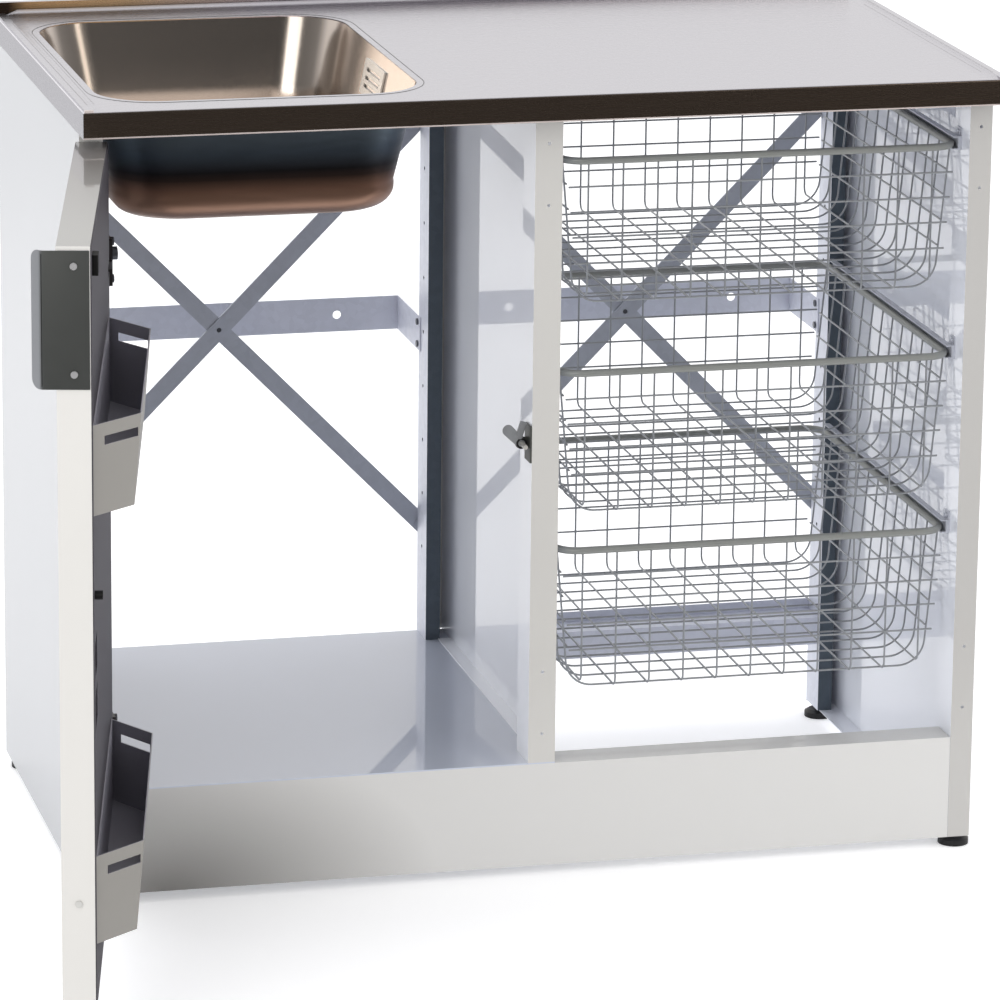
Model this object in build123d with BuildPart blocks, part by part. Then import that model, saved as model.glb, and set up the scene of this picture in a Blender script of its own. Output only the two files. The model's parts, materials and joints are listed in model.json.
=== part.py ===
from build123d import *
import math
import os

os.makedirs("parts", exist_ok=True)

# Kitchen sink unit: a folded sheet-steel carcass with a pressed sink top, a
# hinged door with two bins over the sink bay and three wire baskets on runners
# in the open bay beside it.
#
# Millimetres.  X runs to the right, Y from the front to the wall, Z up.  The
# origin is on the floor, under the middle of the front left foot.

# ---------------------------------------------------------------- sink top
TOP_WIDTH = 1000
TOP_DEPTH = 585
TOP_HEIGHT = 874
APRON_HEIGHT = 28
TOP_SHEET = 1.2
TOP_EDGE_RADIUS = 2
SIDE_BEAD_WIDTH = 9
SIDE_BEAD_HEIGHT = 2
UPSTAND_HEIGHT = 14
UPSTAND_DEPTH = 12

BOWL_WIDTH = 345
BOWL_LENGTH = 465
BOWL_DEPTH = 134
BOWL_CORNER = 65
BOWL_TAPER = 12
BOWL_FLOOR_RADIUS = 24
BOWL_SHEET = 1.0
BOWL_FLANGE = 10
BOWL_FROM_LEFT = 30
BOWL_FROM_FRONT = 48

OVERFLOW_WIDTH = 90
OVERFLOW_HEIGHT = 38
OVERFLOW_THICK = 2
OVERFLOW_BELOW_TOP = 34
OVERFLOW_SLOT_WIDTH = 64
OVERFLOW_SLOT_HEIGHT = 4
OVERFLOW_SLOT_PITCH = 9

DRAIN_HOLE = 90
DRAIN_FLANGE = 112
DRAIN_FLANGE_THICK = 2
DRAIN_CUP_DEPTH = 24
DRAIN_WALL = 1.5
DRAIN_TAIL = 40
DRAIN_TAIL_LENGTH = 8
DRAIN_FIT = 0.6
GASKET_THICK = 3
GASKET_OUTER = 112
NUT_THICK = 9
NUT_OUTER = 106
STRAINER_DEPTH = 18
STRAINER_HOLE = 4
STRAINER_HOLES = 12
STRAINER_FIT = 1.0
STRAINER_KNOB = 14
STRAINER_KNOB_HEIGHT = 12

# ---------------------------------------------------------------- carcass
SHEET = 1.2
SIDE_INSET = 3
POST_SETBACK = 45
POST_WIDTH = 25
POST_RETURN = 50
MIDDLE_POST_WIDTH = 30
PANEL_DEPTH = 530
CARCASS_CLEARANCE = 12
SINK_BAY_WIDTH = 515
END_FLANGE = 25
POST_HOLE = 3.5
UPPER_HOLE_DROP = 32
UPPER_HOLE_PITCH = 67
LOWER_HOLE_RISE = 34
LOWER_HOLE_PITCH = 70

REAR_POST_SHEET = 1.5
REAR_POST_WIDTH = 17
REAR_POST_DEPTH = 46
REAR_POST_INSET = 28
REAR_POST_HOLE = 5
REAR_POST_HOLE_PITCH = 64
REAR_POST_HOLES = 10

PLINTH_TOP = 128
PLINTH_FLANGE = 41
PLINTH_LIP = 15
SHELF_SHEET = 1.5
SHELF_HEM = 15
SHELF_REAR_GAP = 3
REAR_RAIL_HEIGHT = 33
REAR_RAIL_DEPTH = 43
REAR_RAIL_UPSTAND = 12
FIT = 0.3
BATTEN_WIDTH = 13
BATTEN_WALL = 2

WALL_RAIL_HEIGHT = 40
WALL_RAIL_SHEET = 1.5
WALL_RAIL_STANDOFF = 105
WALL_RAIL_LAP = 12
WALL_RAIL_Z = 487
WALL_HOLE = 10
WALL_HOLE_INSET = 74

BRACE_WIDTH = 20
BRACE_SHEET = 2
BRACE_TOP_Z = 745
BRACE_BOTTOM_Z = 255
BRACE_END_INSET = 10
BRACE_MIDDLE_INSET = 24
BRACE_SCREW = 5
BRACE_SCREW_HEAD = 9
BRACE_HEAD_HEIGHT = 3

FOOT_SETBACK = 17
REAR_FOOT_SETBACK = 24
FOOT_PAD = 34
FOOT_PAD_HEIGHT = 9
FOOT_STUD = 8
FOOT_STUD_TOP = 45
FOOT_STUD_CLEARANCE = 0.1
FOOT_NUT_HEIGHT = 7
FOOT_NUT_FLATS = 13

# ---------------------------------------------------------------- wire baskets
BASKET_RIM_HEIGHTS = {"top": 790, "middle": 558, "bottom": 361}
BASKET_SETBACK = 13
BASKET_LENGTH = 474
BASKET_DROP = 157
BASKET_TAPER = 37
RIM_TUBE = 8
RIM_CORNER = 32
WIRE = 2.4
WIRE_SINK = 0.4
FRONT_WIRES = 11
CROSS_WIRES = 13
SIDE_WIRES = 4
SIDE_WIRE_PITCH = 27.5
RIM_CLEARANCE = 0.8

RUNNER_SHEET = 1.2
RUNNER_BELOW = 6
RUNNER_ABOVE = 9
RUNNER_FLANGE = 6.6
RUNNER_LIP = 7
RUNNER_LENGTH = 440
RUNNER_SETBACK = 26
RUNNER_TAB = 14
RUNNER_SCREW_HEAD = 9
RUNNER_SCREW_HEIGHT = 2.5

# ---------------------------------------------------------------- door
DOOR_WIDTH = 498
DOOR_BOTTOM = 66
DOOR_TOP = 836
DOOR_THICK = 34
DOOR_GAP = 3.5
DOOR_SIDE_INSET = 4
DOOR_OPEN_ANGLE = 102
DOOR_PIVOT_INSET = 11
DOOR_PIVOT_DEPTH = 15
DOOR_LINER_INSET = 1.5

HINGE_HEIGHTS = {"upper": 705, "lower": 185}
HINGE_PIN = 6
HINGE_PIN_LENGTH = 28
HINGE_PIN_FIT = 0.1
HINGE_ARM_THICK = 8
HINGE_ARM_WIDTH = 7
HINGE_EYE = 12
HINGE_SIDE_GAP = 1
HINGE_ARM_REACH = 38
HINGE_MOUNT_HEIGHT = 50
HINGE_MOUNT_THICK = 10
HINGE_MOUNT_DEPTH = 28
HINGE_MOUNT_SETBACK = 3
HINGE_NOTCH_GAP = 2
HINGE_NOTCH_LENGTH = 34
HINGE_BLOCK_WIDTH = 18
HINGE_BLOCK_REACH = 8
HINGE_BLOCK_BACK = 3
HINGE_BOLT_HEAD = 9
HINGE_BOLT_HEIGHT = 3.5
HINGE_BOLT_OFFSET = 20
HINGE_ADJUSTER = 14
HINGE_ADJUSTER_HEIGHT = 7
HINGE_ADJUSTER_OFFSET = 7

HANDLE_SHEET = 1.5
HANDLE_HEIGHT = 136
HANDLE_BELOW_TOP = 4
HANDLE_REACH = 15
HANDLE_BACK_MARGIN = 2
HANDLE_LIP = 14
HANDLE_LIP_ANGLE = 50
HANDLE_CORNER = 9
HANDLE_SCREW_PITCH = 106
HANDLE_SCREW_HEAD = 7
HANDLE_SCREW_HEIGHT = 2

BIN_SHEET = 1.2
BIN_LENGTH = 456
BIN_HEIGHT = 90
BIN_DEPTH_TOP = 45
BIN_DEPTH_BOTTOM = 38
BIN_SPLAY_TOP = 51
BIN_SPLAY_BOTTOM = 44
BIN_END_MARGIN = 9
BIN_BOTTOMS = {"upper": 568, "lower": 133}
BIN_SLOT_HEIGHT = 9
BIN_SLOT_DROP = 13
BIN_SLOT_START = 10.5
BIN_SLOT_END = 41.8

CATCH_HOLE = 6.6
CATCH_BUSH = 9
CATCH_BUSH_LENGTH = 8
CATCH_WINDOW_WIDTH = 50
CATCH_WINDOW_HEIGHT = 36
CATCH_WINDOW_FROM_EDGE = 47
CATCH_WINDOW_HEIGHTS = (418, 366)
BUFFER_WIDTH = 20
BUFFER_HEIGHT = 20
BUFFER_THICK = 6
BUFFER_FROM_EDGE = 35
BUFFER_DROP = 12
EDGE_PLUG = 7
EDGE_PLUG_THICK = 1.5
EDGE_PLUG_Z = 177

# ---------------------------------------------------------------- latch
LATCH_Z = 486
LATCH_PIN = 5
LATCH_PIN_NOSE = 5
LATCH_PIN_LENGTH = 23
LATCH_PIN_HEAD = 9
LATCH_PIN_HEAD_THICK = 1.5
LATCH_PIN_FIT = 0.1
LATCH_PIN_OFFSET = 9
LATCH_PLATE = 2
LATCH_PLATE_HEIGHT = 40
LATCH_PLATE_DEPTH = 24
LATCH_EAR_SETBACK = 12
LATCH_LEVER_THICK = 3
LATCH_LEVER_GAP = 0.3
LATCH_HUB = 13
LATCH_PADDLE_LENGTH = 21
LATCH_PADDLE_WIDTH = 13
LATCH_PADDLE_ANGLE = 135
LATCH_TONGUE_LENGTH = 24
LATCH_TONGUE_WIDTH = 8
LATCH_TONGUE_ANGLE = 73
LATCH_TONGUE_OFFSET = 5

# ---------------------------------------------------------------- reference places
left = -(SIDE_INSET + POST_WIDTH / 2)
right = left + TOP_WIDTH
front = -(POST_SETBACK + FOOT_SETBACK)
rear = front + TOP_DEPTH
carcass_top = TOP_HEIGHT - APRON_HEIGHT
panel_left = left + SIDE_INSET
panel_right = right - SIDE_INSET
post_face = front + POST_SETBACK
panel_rear = post_face + PANEL_DEPTH
divider_left = panel_left + SHEET + SINK_BAY_WIDTH
divider_right = divider_left + SHEET
rear_post_front = panel_rear - SHEET - REAR_POST_DEPTH
shelf_top = PLINTH_TOP + SHELF_SHEET

bowl_x = left + BOWL_FROM_LEFT + BOWL_WIDTH / 2
bowl_y = front + BOWL_FROM_FRONT + BOWL_LENGTH / 2
bowl_floor = TOP_HEIGHT - BOWL_DEPTH

basket_left = divider_right + RUNNER_SHEET + RIM_CLEARANCE
basket_right = panel_right - REAR_POST_INSET - RUNNER_SHEET - RIM_CLEARANCE
basket_x = (basket_left + basket_right) / 2
basket_width = basket_right - basket_left
basket_front = post_face + BASKET_SETBACK
basket_y = basket_front + BASKET_LENGTH / 2

pivot_x = left + DOOR_SIDE_INSET + DOOR_PIVOT_INSET
pivot_y = post_face - DOOR_GAP - DOOR_PIVOT_DEPTH
door_angle = math.radians(DOOR_OPEN_ANGLE)
door_frame = Plane(
    origin=(pivot_x, pivot_y, 0),
    x_dir=(math.cos(door_angle), -math.sin(door_angle), 0),
    z_dir=(0, 0, 1),
)
latch_pin_x = divider_right - MIDDLE_POST_WIDTH - LATCH_PIN_OFFSET
door_hinge_end = -DOOR_PIVOT_INSET
door_free_end = DOOR_WIDTH - DOOR_PIVOT_INSET
door_inner = DOOR_PIVOT_DEPTH
door_outer_face = DOOR_PIVOT_DEPTH - DOOR_THICK


def block(x0, x1, y0, y1, z0, z1, mode=Mode.ADD):
    """Add a box between two corners to the part being built."""
    with Locations(((x0 + x1) / 2, (y0 + y1) / 2, (z0 + z1) / 2)):
        Box(abs(x1 - x0), abs(y1 - y0), abs(z1 - z0), mode=mode)


def rod(start, end, diameter, mode=Mode.ADD):
    """Add a round bar between two points to the part being built."""
    axis = Vector(*end) - Vector(*start)
    from_start = (Align.CENTER, Align.CENTER, Align.MIN)
    with Locations(Plane(origin=start, z_dir=axis).location):
        Cylinder(diameter / 2, axis.length, align=from_start, mode=mode)


def keep(piece, name):
    """Label a finished piece and write it to its own file."""
    piece.part.label = name
    export_step(piece.part, f"parts/{name}.step")


# ================================================================ sink top
def make_worktop():
    """Pressed top with its turned-down edges, side beads, upstand and bowl hole."""
    with BuildPart() as worktop:
        block(left, right, front, rear, carcass_top, TOP_HEIGHT)
        top_face = worktop.faces().sort_by(Axis.Z)[-1]
        fillet(top_face.edges(), TOP_EDGE_RADIUS)
        block(
            left + TOP_SHEET,
            right - TOP_SHEET,
            front + TOP_SHEET,
            rear - TOP_SHEET,
            carcass_top,
            TOP_HEIGHT - TOP_SHEET,
            Mode.SUBTRACT,
        )
        bead_top = TOP_HEIGHT + SIDE_BEAD_HEIGHT
        bead_rear = rear - UPSTAND_DEPTH
        bead_base = TOP_HEIGHT - TOP_SHEET
        inner_left = left + TOP_EDGE_RADIUS
        inner_right = right - TOP_EDGE_RADIUS
        inner_front = front + TOP_EDGE_RADIUS
        block(inner_left, inner_left + SIDE_BEAD_WIDTH, inner_front, bead_rear, bead_base, bead_top)
        block(inner_right - SIDE_BEAD_WIDTH, inner_right, inner_front, bead_rear, bead_base, bead_top)
        upstand_top = TOP_HEIGHT + UPSTAND_HEIGHT
        block(inner_left, inner_right, bead_rear, rear - TOP_EDGE_RADIUS, bead_base, upstand_top)
        with BuildSketch(Plane.XY.offset(TOP_HEIGHT - TOP_SHEET)):
            with Locations((bowl_x, bowl_y)):
                RectangleRounded(BOWL_WIDTH, BOWL_LENGTH, BOWL_CORNER)
        extrude(amount=TOP_SHEET, mode=Mode.SUBTRACT)
    keep(worktop, "worktop")


def bowl_form(grow, depth, mode=Mode.ADD):
    """Add the tapered bowl form, larger all round by grow and this deep."""
    with BuildSketch(Plane.XY.offset(TOP_HEIGHT - TOP_SHEET)) as mouth:
        with Locations((bowl_x, bowl_y)):
            RectangleRounded(BOWL_WIDTH + 2 * grow, BOWL_LENGTH + 2 * grow, BOWL_CORNER + grow)
    extrude(mouth.sketch, amount=-depth, taper=BOWL_TAPER, mode=mode)


def make_sink_bowl():
    """Drawn bowl: tapered walls, rounded floor edge, flange under the top."""
    inner_depth = BOWL_DEPTH - TOP_SHEET
    with BuildPart() as cavity:
        bowl_form(0, inner_depth)
        floor = cavity.faces().sort_by(Axis.Z)[0]
        fillet(floor.edges(), BOWL_FLOOR_RADIUS)
    with BuildPart() as bowl:
        bowl_form(BOWL_SHEET, inner_depth + BOWL_SHEET)
        floor = bowl.faces().sort_by(Axis.Z)[0]
        fillet(floor.edges(), BOWL_FLOOR_RADIUS + BOWL_SHEET)
        with BuildSketch(Plane.XY.offset(TOP_HEIGHT - TOP_SHEET - BOWL_SHEET)):
            with Locations((bowl_x, bowl_y)):
                RectangleRounded(
                    BOWL_WIDTH + 2 * BOWL_FLANGE,
                    BOWL_LENGTH + 2 * BOWL_FLANGE,
                    BOWL_CORNER + BOWL_FLANGE,
                )
        extrude(amount=BOWL_SHEET)
        add(cavity.part, mode=Mode.SUBTRACT)
        with Locations((bowl_x, bowl_y, bowl_floor)):
            Cylinder(DRAIN_HOLE / 2, 4 * BOWL_SHEET, mode=Mode.SUBTRACT)
    keep(bowl, "sink_bowl")


def make_overflow_plate():
    """Slotted cover that lies on the sloping right wall of the bowl."""
    slope = math.radians(BOWL_TAPER)
    drop = OVERFLOW_BELOW_TOP - TOP_SHEET
    wall_x = bowl_x + BOWL_WIDTH / 2 - drop * math.tan(slope)
    normal = (-math.cos(slope), 0, math.sin(slope))
    wall = Plane(
        origin=(wall_x, bowl_y, TOP_HEIGHT - OVERFLOW_BELOW_TOP),
        x_dir=(0, 1, 0),
        z_dir=normal,
    )
    with BuildPart() as plate:
        with BuildSketch(wall.offset(FIT)):
            RectangleRounded(OVERFLOW_WIDTH, OVERFLOW_HEIGHT, OVERFLOW_THICK)
            with GridLocations(0, OVERFLOW_SLOT_PITCH, 1, 3):
                SlotOverall(OVERFLOW_SLOT_WIDTH, OVERFLOW_SLOT_HEIGHT, mode=Mode.SUBTRACT)
        extrude(amount=OVERFLOW_THICK)
    keep(plate, "overflow_plate")


def drain_plane(z):
    """Level plane at height z with its origin on the drain's axis."""
    return Plane(origin=(bowl_x, bowl_y, z), z_dir=(0, 0, 1))


def ring(z, outer, inner, height):
    """Add a ring round the drain's axis, from z upward."""
    with BuildSketch(drain_plane(z)) as profile:
        Circle(outer / 2)
        Circle(inner / 2, mode=Mode.SUBTRACT)
    extrude(profile.sketch, amount=height)


def make_drain():
    """Waste fitting: flanged cup, gasket, lock nut and lift-out strainer."""
    cup_outer = DRAIN_HOLE - 2 * DRAIN_FIT
    cup_inner = cup_outer - 2 * DRAIN_WALL
    under_floor = bowl_floor - BOWL_SHEET
    cup_base = bowl_floor - DRAIN_CUP_DEPTH
    with BuildPart() as cup:
        ring(bowl_floor, DRAIN_FLANGE, cup_inner, DRAIN_FLANGE_THICK)
        ring(cup_base, cup_outer, cup_inner, DRAIN_CUP_DEPTH)
        ring(cup_base - DRAIN_WALL, cup_outer, DRAIN_TAIL - 2 * DRAIN_WALL, DRAIN_WALL)
        ring(
            cup_base - DRAIN_WALL - DRAIN_TAIL_LENGTH,
            DRAIN_TAIL,
            DRAIN_TAIL - 2 * DRAIN_WALL,
            DRAIN_TAIL_LENGTH,
        )
    keep(cup, "drain_cup")
    with BuildPart() as gasket:
        ring(under_floor - GASKET_THICK, GASKET_OUTER, DRAIN_HOLE, GASKET_THICK)
    keep(gasket, "drain_gasket")
    with BuildPart() as nut:
        nut_base = under_floor - GASKET_THICK - NUT_THICK
        ring(nut_base, NUT_OUTER, cup_outer + 2 * HINGE_PIN_FIT, NUT_THICK)
        with BuildSketch(drain_plane(nut_base)):
            with PolarLocations(NUT_OUTER / 2, 6):
                Circle(DRAIN_FLANGE_THICK * 2)
        extrude(amount=NUT_THICK, mode=Mode.SUBTRACT)
    keep(nut, "drain_nut")
    rim = bowl_floor + DRAIN_FLANGE_THICK + FIT
    strainer_outer = cup_inner - 2 * STRAINER_FIT
    with BuildPart() as strainer:
        ring(rim, cup_outer + 2 * DRAIN_WALL, strainer_outer - 2 * DRAIN_WALL, DRAIN_WALL)
        ring(rim - STRAINER_DEPTH, strainer_outer, strainer_outer - 2 * DRAIN_WALL, STRAINER_DEPTH)
        with BuildSketch(drain_plane(rim - STRAINER_DEPTH)):
            Circle(strainer_outer / 2)
            with PolarLocations(strainer_outer / 3, STRAINER_HOLES):
                Circle(STRAINER_HOLE, mode=Mode.SUBTRACT)
        extrude(amount=DRAIN_WALL)
        with BuildSketch(drain_plane(rim - STRAINER_DEPTH + DRAIN_WALL)):
            Circle(STRAINER_KNOB / 2)
        extrude(amount=STRAINER_KNOB_HEIGHT)
    keep(strainer, "strainer_basket")


# ================================================================ carcass
def make_side_panel(name, outer, inward):
    """Folded side panel with its front post, rear flange and end flanges."""
    skin = outer + inward * SHEET
    post_edge = outer + inward * POST_WIDTH
    rear_edge = outer + inward * REAR_POST_INSET
    flange_edge = outer + inward * END_FLANGE
    bottom = CARCASS_CLEARANCE
    with BuildPart() as panel:
        block(outer, skin, post_face, panel_rear, bottom, carcass_top)
        block(outer, post_edge, post_face, post_face + SHEET, bottom, carcass_top)
        block(post_edge, post_edge - inward * SHEET, post_face, post_face + POST_RETURN, bottom, carcass_top)
        block(outer, rear_edge, panel_rear - SHEET, panel_rear, bottom, carcass_top)
        block(outer, flange_edge, post_face, panel_rear, bottom, bottom + SHEET)
        block(outer, flange_edge, post_face, panel_rear, carcass_top - SHEET, carcass_top)
        rear_foot_x = outer + inward * rear_foot_inset
        for x, y in ((outer + inward * POST_WIDTH / 2, 0), (rear_foot_x, rear_foot_y)):
            with Locations((x, y, bottom)):
                Cylinder(FOOT_STUD / 2 + FOOT_STUD_CLEARANCE, 4 * SHEET, mode=Mode.SUBTRACT)
        post_holes((outer + post_edge) / 2)
    keep(panel, name)


def post_holes(x):
    """Drill the four small hole positions in a front post."""
    upper = carcass_top - UPPER_HOLE_DROP
    lower = PLINTH_TOP + LOWER_HOLE_RISE
    for z in (upper, upper - UPPER_HOLE_PITCH, lower, lower + LOWER_HOLE_PITCH):
        rod((x, post_face - SHEET, z), (x, post_face + 2 * SHEET, z), POST_HOLE, Mode.SUBTRACT)


def make_divider():
    """Divider between the bays, with the middle post folded on its front."""
    post_left = divider_right - MIDDLE_POST_WIDTH
    with BuildPart() as divider:
        block(divider_left, divider_right, post_face, panel_rear, shelf_top, carcass_top)
        block(post_left, divider_right, post_face, post_face + SHEET, shelf_top, carcass_top)
        block(post_left, post_left + SHEET, post_face, post_face + POST_RETURN, shelf_top, carcass_top)
        block(post_left, divider_right, panel_rear - SHEET, panel_rear, shelf_top, carcass_top)
        rear_of_post = post_face + POST_RETURN
        flange_left = divider_left - PLINTH_LIP
        block(flange_left, divider_left, rear_of_post, rear_post_front, shelf_top, shelf_top + SHEET)
        block(post_left, divider_left, post_face, rear_post_front, carcass_top - SHEET, carcass_top)
        post_holes(divider_right - MIDDLE_POST_WIDTH / 2)
    keep(divider, "divider_panel")


def make_rear_post(name, inner_face, outward, bottom, top):
    """Galvanised channel post; outward points from the bay to the panel."""
    far_face = inner_face + outward * REAR_POST_WIDTH
    back = panel_rear - SHEET
    with BuildPart() as post:
        web = rear_post_front + REAR_POST_SHEET
        block(inner_face, far_face, rear_post_front, web, bottom, top)
        block(inner_face, inner_face + outward * REAR_POST_SHEET, rear_post_front, back, bottom, top)
        block(far_face, far_face - outward * REAR_POST_SHEET, rear_post_front, back, bottom, top)
        hole_y = (rear_post_front + back) / 2
        first = top - REAR_POST_HOLE_PITCH / 2
        for index in range(REAR_POST_HOLES):
            z = first - index * REAR_POST_HOLE_PITCH
            start = (inner_face - outward * REAR_POST_SHEET, hole_y, z)
            end = (inner_face + outward * 2 * REAR_POST_SHEET, hole_y, z)
            rod(start, end, REAR_POST_HOLE, Mode.SUBTRACT)
    keep(post, name)


def make_base():
    """Plinth, bottom shelf of the sink bay and the rear bottom rail."""
    plinth_left = panel_left + POST_WIDTH + FIT
    plinth_right = panel_right - POST_WIDTH - FIT
    bottom = CARCASS_CLEARANCE
    with BuildPart() as plinth:
        block(plinth_left, plinth_right, post_face, post_face + SHEET, bottom, PLINTH_TOP)
        flange_back = post_face + PLINTH_FLANGE
        block(plinth_left, plinth_right, post_face, flange_back, PLINTH_TOP - SHEET, PLINTH_TOP)
        block(plinth_left, plinth_right, post_face, post_face + PLINTH_LIP, bottom, bottom + SHEET)
        lip_bottom = PLINTH_TOP - PLINTH_LIP
        block(plinth_left, plinth_right, flange_back - SHEET, flange_back, lip_bottom, PLINTH_TOP)
    keep(plinth, "plinth")

    rail_left = panel_left + REAR_POST_INSET + FIT
    rail_right = panel_right - REAR_POST_INSET - FIT
    rail_back = panel_rear - SHEET - FIT
    rail_front = rail_back - REAR_RAIL_DEPTH
    rail_bottom = PLINTH_TOP - REAR_RAIL_HEIGHT
    with BuildPart() as rail:
        block(rail_left, rail_right, rail_front, rail_front + SHEET, rail_bottom, PLINTH_TOP)
        block(rail_left, rail_right, rail_front, rail_back, PLINTH_TOP - SHEET, PLINTH_TOP)
        upstand_left = divider_right + SHELF_REAR_GAP
        upstand_top = PLINTH_TOP + REAR_RAIL_UPSTAND
        block(upstand_left, rail_right, rail_back - SHEET, rail_back, PLINTH_TOP - SHEET, upstand_top)
    keep(rail, "rear_bottom_rail")

    shelf_left = panel_left + SHEET + FIT
    shelf_rear = rail_back - SHELF_REAR_GAP
    with BuildPart() as shelf:
        block(shelf_left, divider_right, post_face, shelf_rear, PLINTH_TOP, shelf_top)
        post_notch = post_face + POST_RETURN + FIT
        block(shelf_left, plinth_left, post_face, post_notch, PLINTH_TOP, shelf_top, Mode.SUBTRACT)
        rear_notch = rear_post_front - FIT
        block(shelf_left, rail_left, rear_notch, shelf_rear, PLINTH_TOP, shelf_top, Mode.SUBTRACT)
        hem_front = post_face + PLINTH_FLANGE + FIT
        hem_back = rail_front - FIT
        hem_left = divider_right - SHELF_SHEET
        hem_bottom = PLINTH_TOP - SHELF_HEM
        block(hem_left, divider_right, hem_front, hem_back, hem_bottom, PLINTH_TOP)
    keep(shelf, "bottom_shelf")


def make_battens():
    """Channels between the carcass and the sheet top, one over each panel."""
    height_top = TOP_HEIGHT - TOP_SHEET
    starts = (panel_left, divider_right - BATTEN_WIDTH, panel_right - BATTEN_WIDTH)
    with BuildPart() as battens:
        for x in starts:
            block(x, x + BATTEN_WIDTH, post_face, panel_rear, carcass_top, height_top)
            inner_left = x + BATTEN_WALL
            inner_right = x + BATTEN_WIDTH - BATTEN_WALL
            hollow_top = height_top - BATTEN_WALL
            floor = carcass_top + BATTEN_WALL
            block(inner_left, inner_right, post_face, panel_rear, floor, hollow_top, Mode.SUBTRACT)
    keep(battens, "top_battens")


def make_wall_rail(name, rail_left, rail_right):
    """Flat rail behind the unit, with a lug at each end that laps a rear post."""
    back = panel_rear + WALL_RAIL_STANDOFF
    lap = panel_rear - WALL_RAIL_LAP
    low = WALL_RAIL_Z - WALL_RAIL_HEIGHT / 2
    high = WALL_RAIL_Z + WALL_RAIL_HEIGHT / 2
    with BuildPart() as rail:
        block(rail_left, rail_right, back - WALL_RAIL_SHEET, back, low, high)
        block(rail_left, rail_left + WALL_RAIL_SHEET, lap, back, low, high)
        block(rail_right - WALL_RAIL_SHEET, rail_right, lap, back, low, high)
        for x in (rail_left + WALL_HOLE_INSET, rail_right - WALL_HOLE_INSET):
            start = (x, back - 2 * WALL_RAIL_SHEET, WALL_RAIL_Z)
            rod(start, (x, back + WALL_RAIL_SHEET, WALL_RAIL_Z), WALL_HOLE, Mode.SUBTRACT)
    keep(rail, name)


def make_brace(name, x0, z0, x1, z1, layer):
    """Flat diagonal bar with round ends, in the first or second layer."""
    near = panel_rear + layer * BRACE_SHEET
    length = math.hypot(x1 - x0, z1 - z0)
    tilt = math.degrees(math.atan2(z1 - z0, x1 - x0))
    centre = ((x0 + x1) / 2, near, (z0 + z1) / 2)
    plane = Plane(origin=centre, x_dir=(1, 0, 0), z_dir=(0, -1, 0))
    with BuildPart() as brace:
        with BuildSketch(plane):
            SlotCenterToCenter(length, BRACE_WIDTH, rotation=tilt)
            with Locations(Location((0, 0), tilt)):
                with Locations((-length / 2, 0), (0, 0), (length / 2, 0)):
                    Circle(BRACE_SCREW / 2 + FIT, mode=Mode.SUBTRACT)
        extrude(amount=-BRACE_SHEET)
    keep(brace, name)


def make_brace_screws(places):
    """Screws through the braces: their heads lie on the outer layer."""
    outer = panel_rear + 2 * BRACE_SHEET
    with BuildPart() as screws:
        for x, z in places:
            rod((x, panel_rear, z), (x, outer, z), BRACE_SCREW)
            rod((x, outer, z), (x, outer + BRACE_HEAD_HEIGHT, z), BRACE_SCREW_HEAD)
    keep(screws, "brace_screws")


def make_braces():
    """Two crossed braces behind each bay and the screws they share."""
    ends = {
        "left": (panel_left + BRACE_END_INSET, divider_right - BRACE_MIDDLE_INSET),
        "right": (divider_right - BRACE_MIDDLE_INSET, panel_right - 2 * BRACE_END_INSET),
    }
    places = []
    for bay, (x0, x1) in ends.items():
        make_brace(f"brace_{bay}_rising", x0, BRACE_BOTTOM_Z, x1, BRACE_TOP_Z, 0)
        make_brace(f"brace_{bay}_falling", x0, BRACE_TOP_Z, x1, BRACE_BOTTOM_Z, 1)
        places.append(((x0 + x1) / 2, (BRACE_TOP_Z + BRACE_BOTTOM_Z) / 2))
    for x in (ends["left"][0], ends["left"][1], ends["right"][1]):
        places += [(x, BRACE_BOTTOM_Z), (x, BRACE_TOP_Z)]
    make_brace_screws(places)


def make_feet():
    """Four screw feet and the nuts they turn in."""
    flange_top = CARCASS_CLEARANCE + SHEET
    nut_hole = FOOT_STUD / 2 + FOOT_STUD_CLEARANCE
    with BuildPart() as nuts:
        for x, y in foot_places.values():
            with BuildSketch(Plane(origin=(x, y, flange_top), z_dir=(0, 0, 1))):
                RegularPolygon(FOOT_NUT_FLATS / 2, 6, major_radius=False, rotation=30)
                Circle(nut_hole, mode=Mode.SUBTRACT)
            extrude(amount=FOOT_NUT_HEIGHT)
    keep(nuts, "foot_nuts")
    for name, (x, y) in foot_places.items():
        with BuildPart() as foot:
            rod((x, y, 0), (x, y, FOOT_PAD_HEIGHT), FOOT_PAD)
            pad_edges = foot.edges().filter_by(GeomType.CIRCLE)
            chamfer(pad_edges.sort_by(Axis.Z)[-1], FOOT_PAD_HEIGHT / 3, FOOT_PAD_HEIGHT / 2)
            rod((x, y, FOOT_PAD_HEIGHT), (x, y, FOOT_STUD_TOP), FOOT_STUD)
        keep(foot, f"foot_{name}")


rear_foot_y = panel_rear - REAR_FOOT_SETBACK
rear_foot_inset = REAR_POST_INSET - REAR_POST_WIDTH / 2
foot_places = {
    "front_left": (0, 0),
    "front_right": (panel_right - POST_WIDTH / 2, 0),
    "rear_left": (panel_left + rear_foot_inset, rear_foot_y),
    "rear_right": (panel_right - rear_foot_inset, rear_foot_y),
}


# ================================================================ baskets
def spread(low, high, count):
    """Return count evenly spaced values from low to high."""
    step = (high - low) / (count - 1)
    return [low + index * step for index in range(count)]


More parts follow.
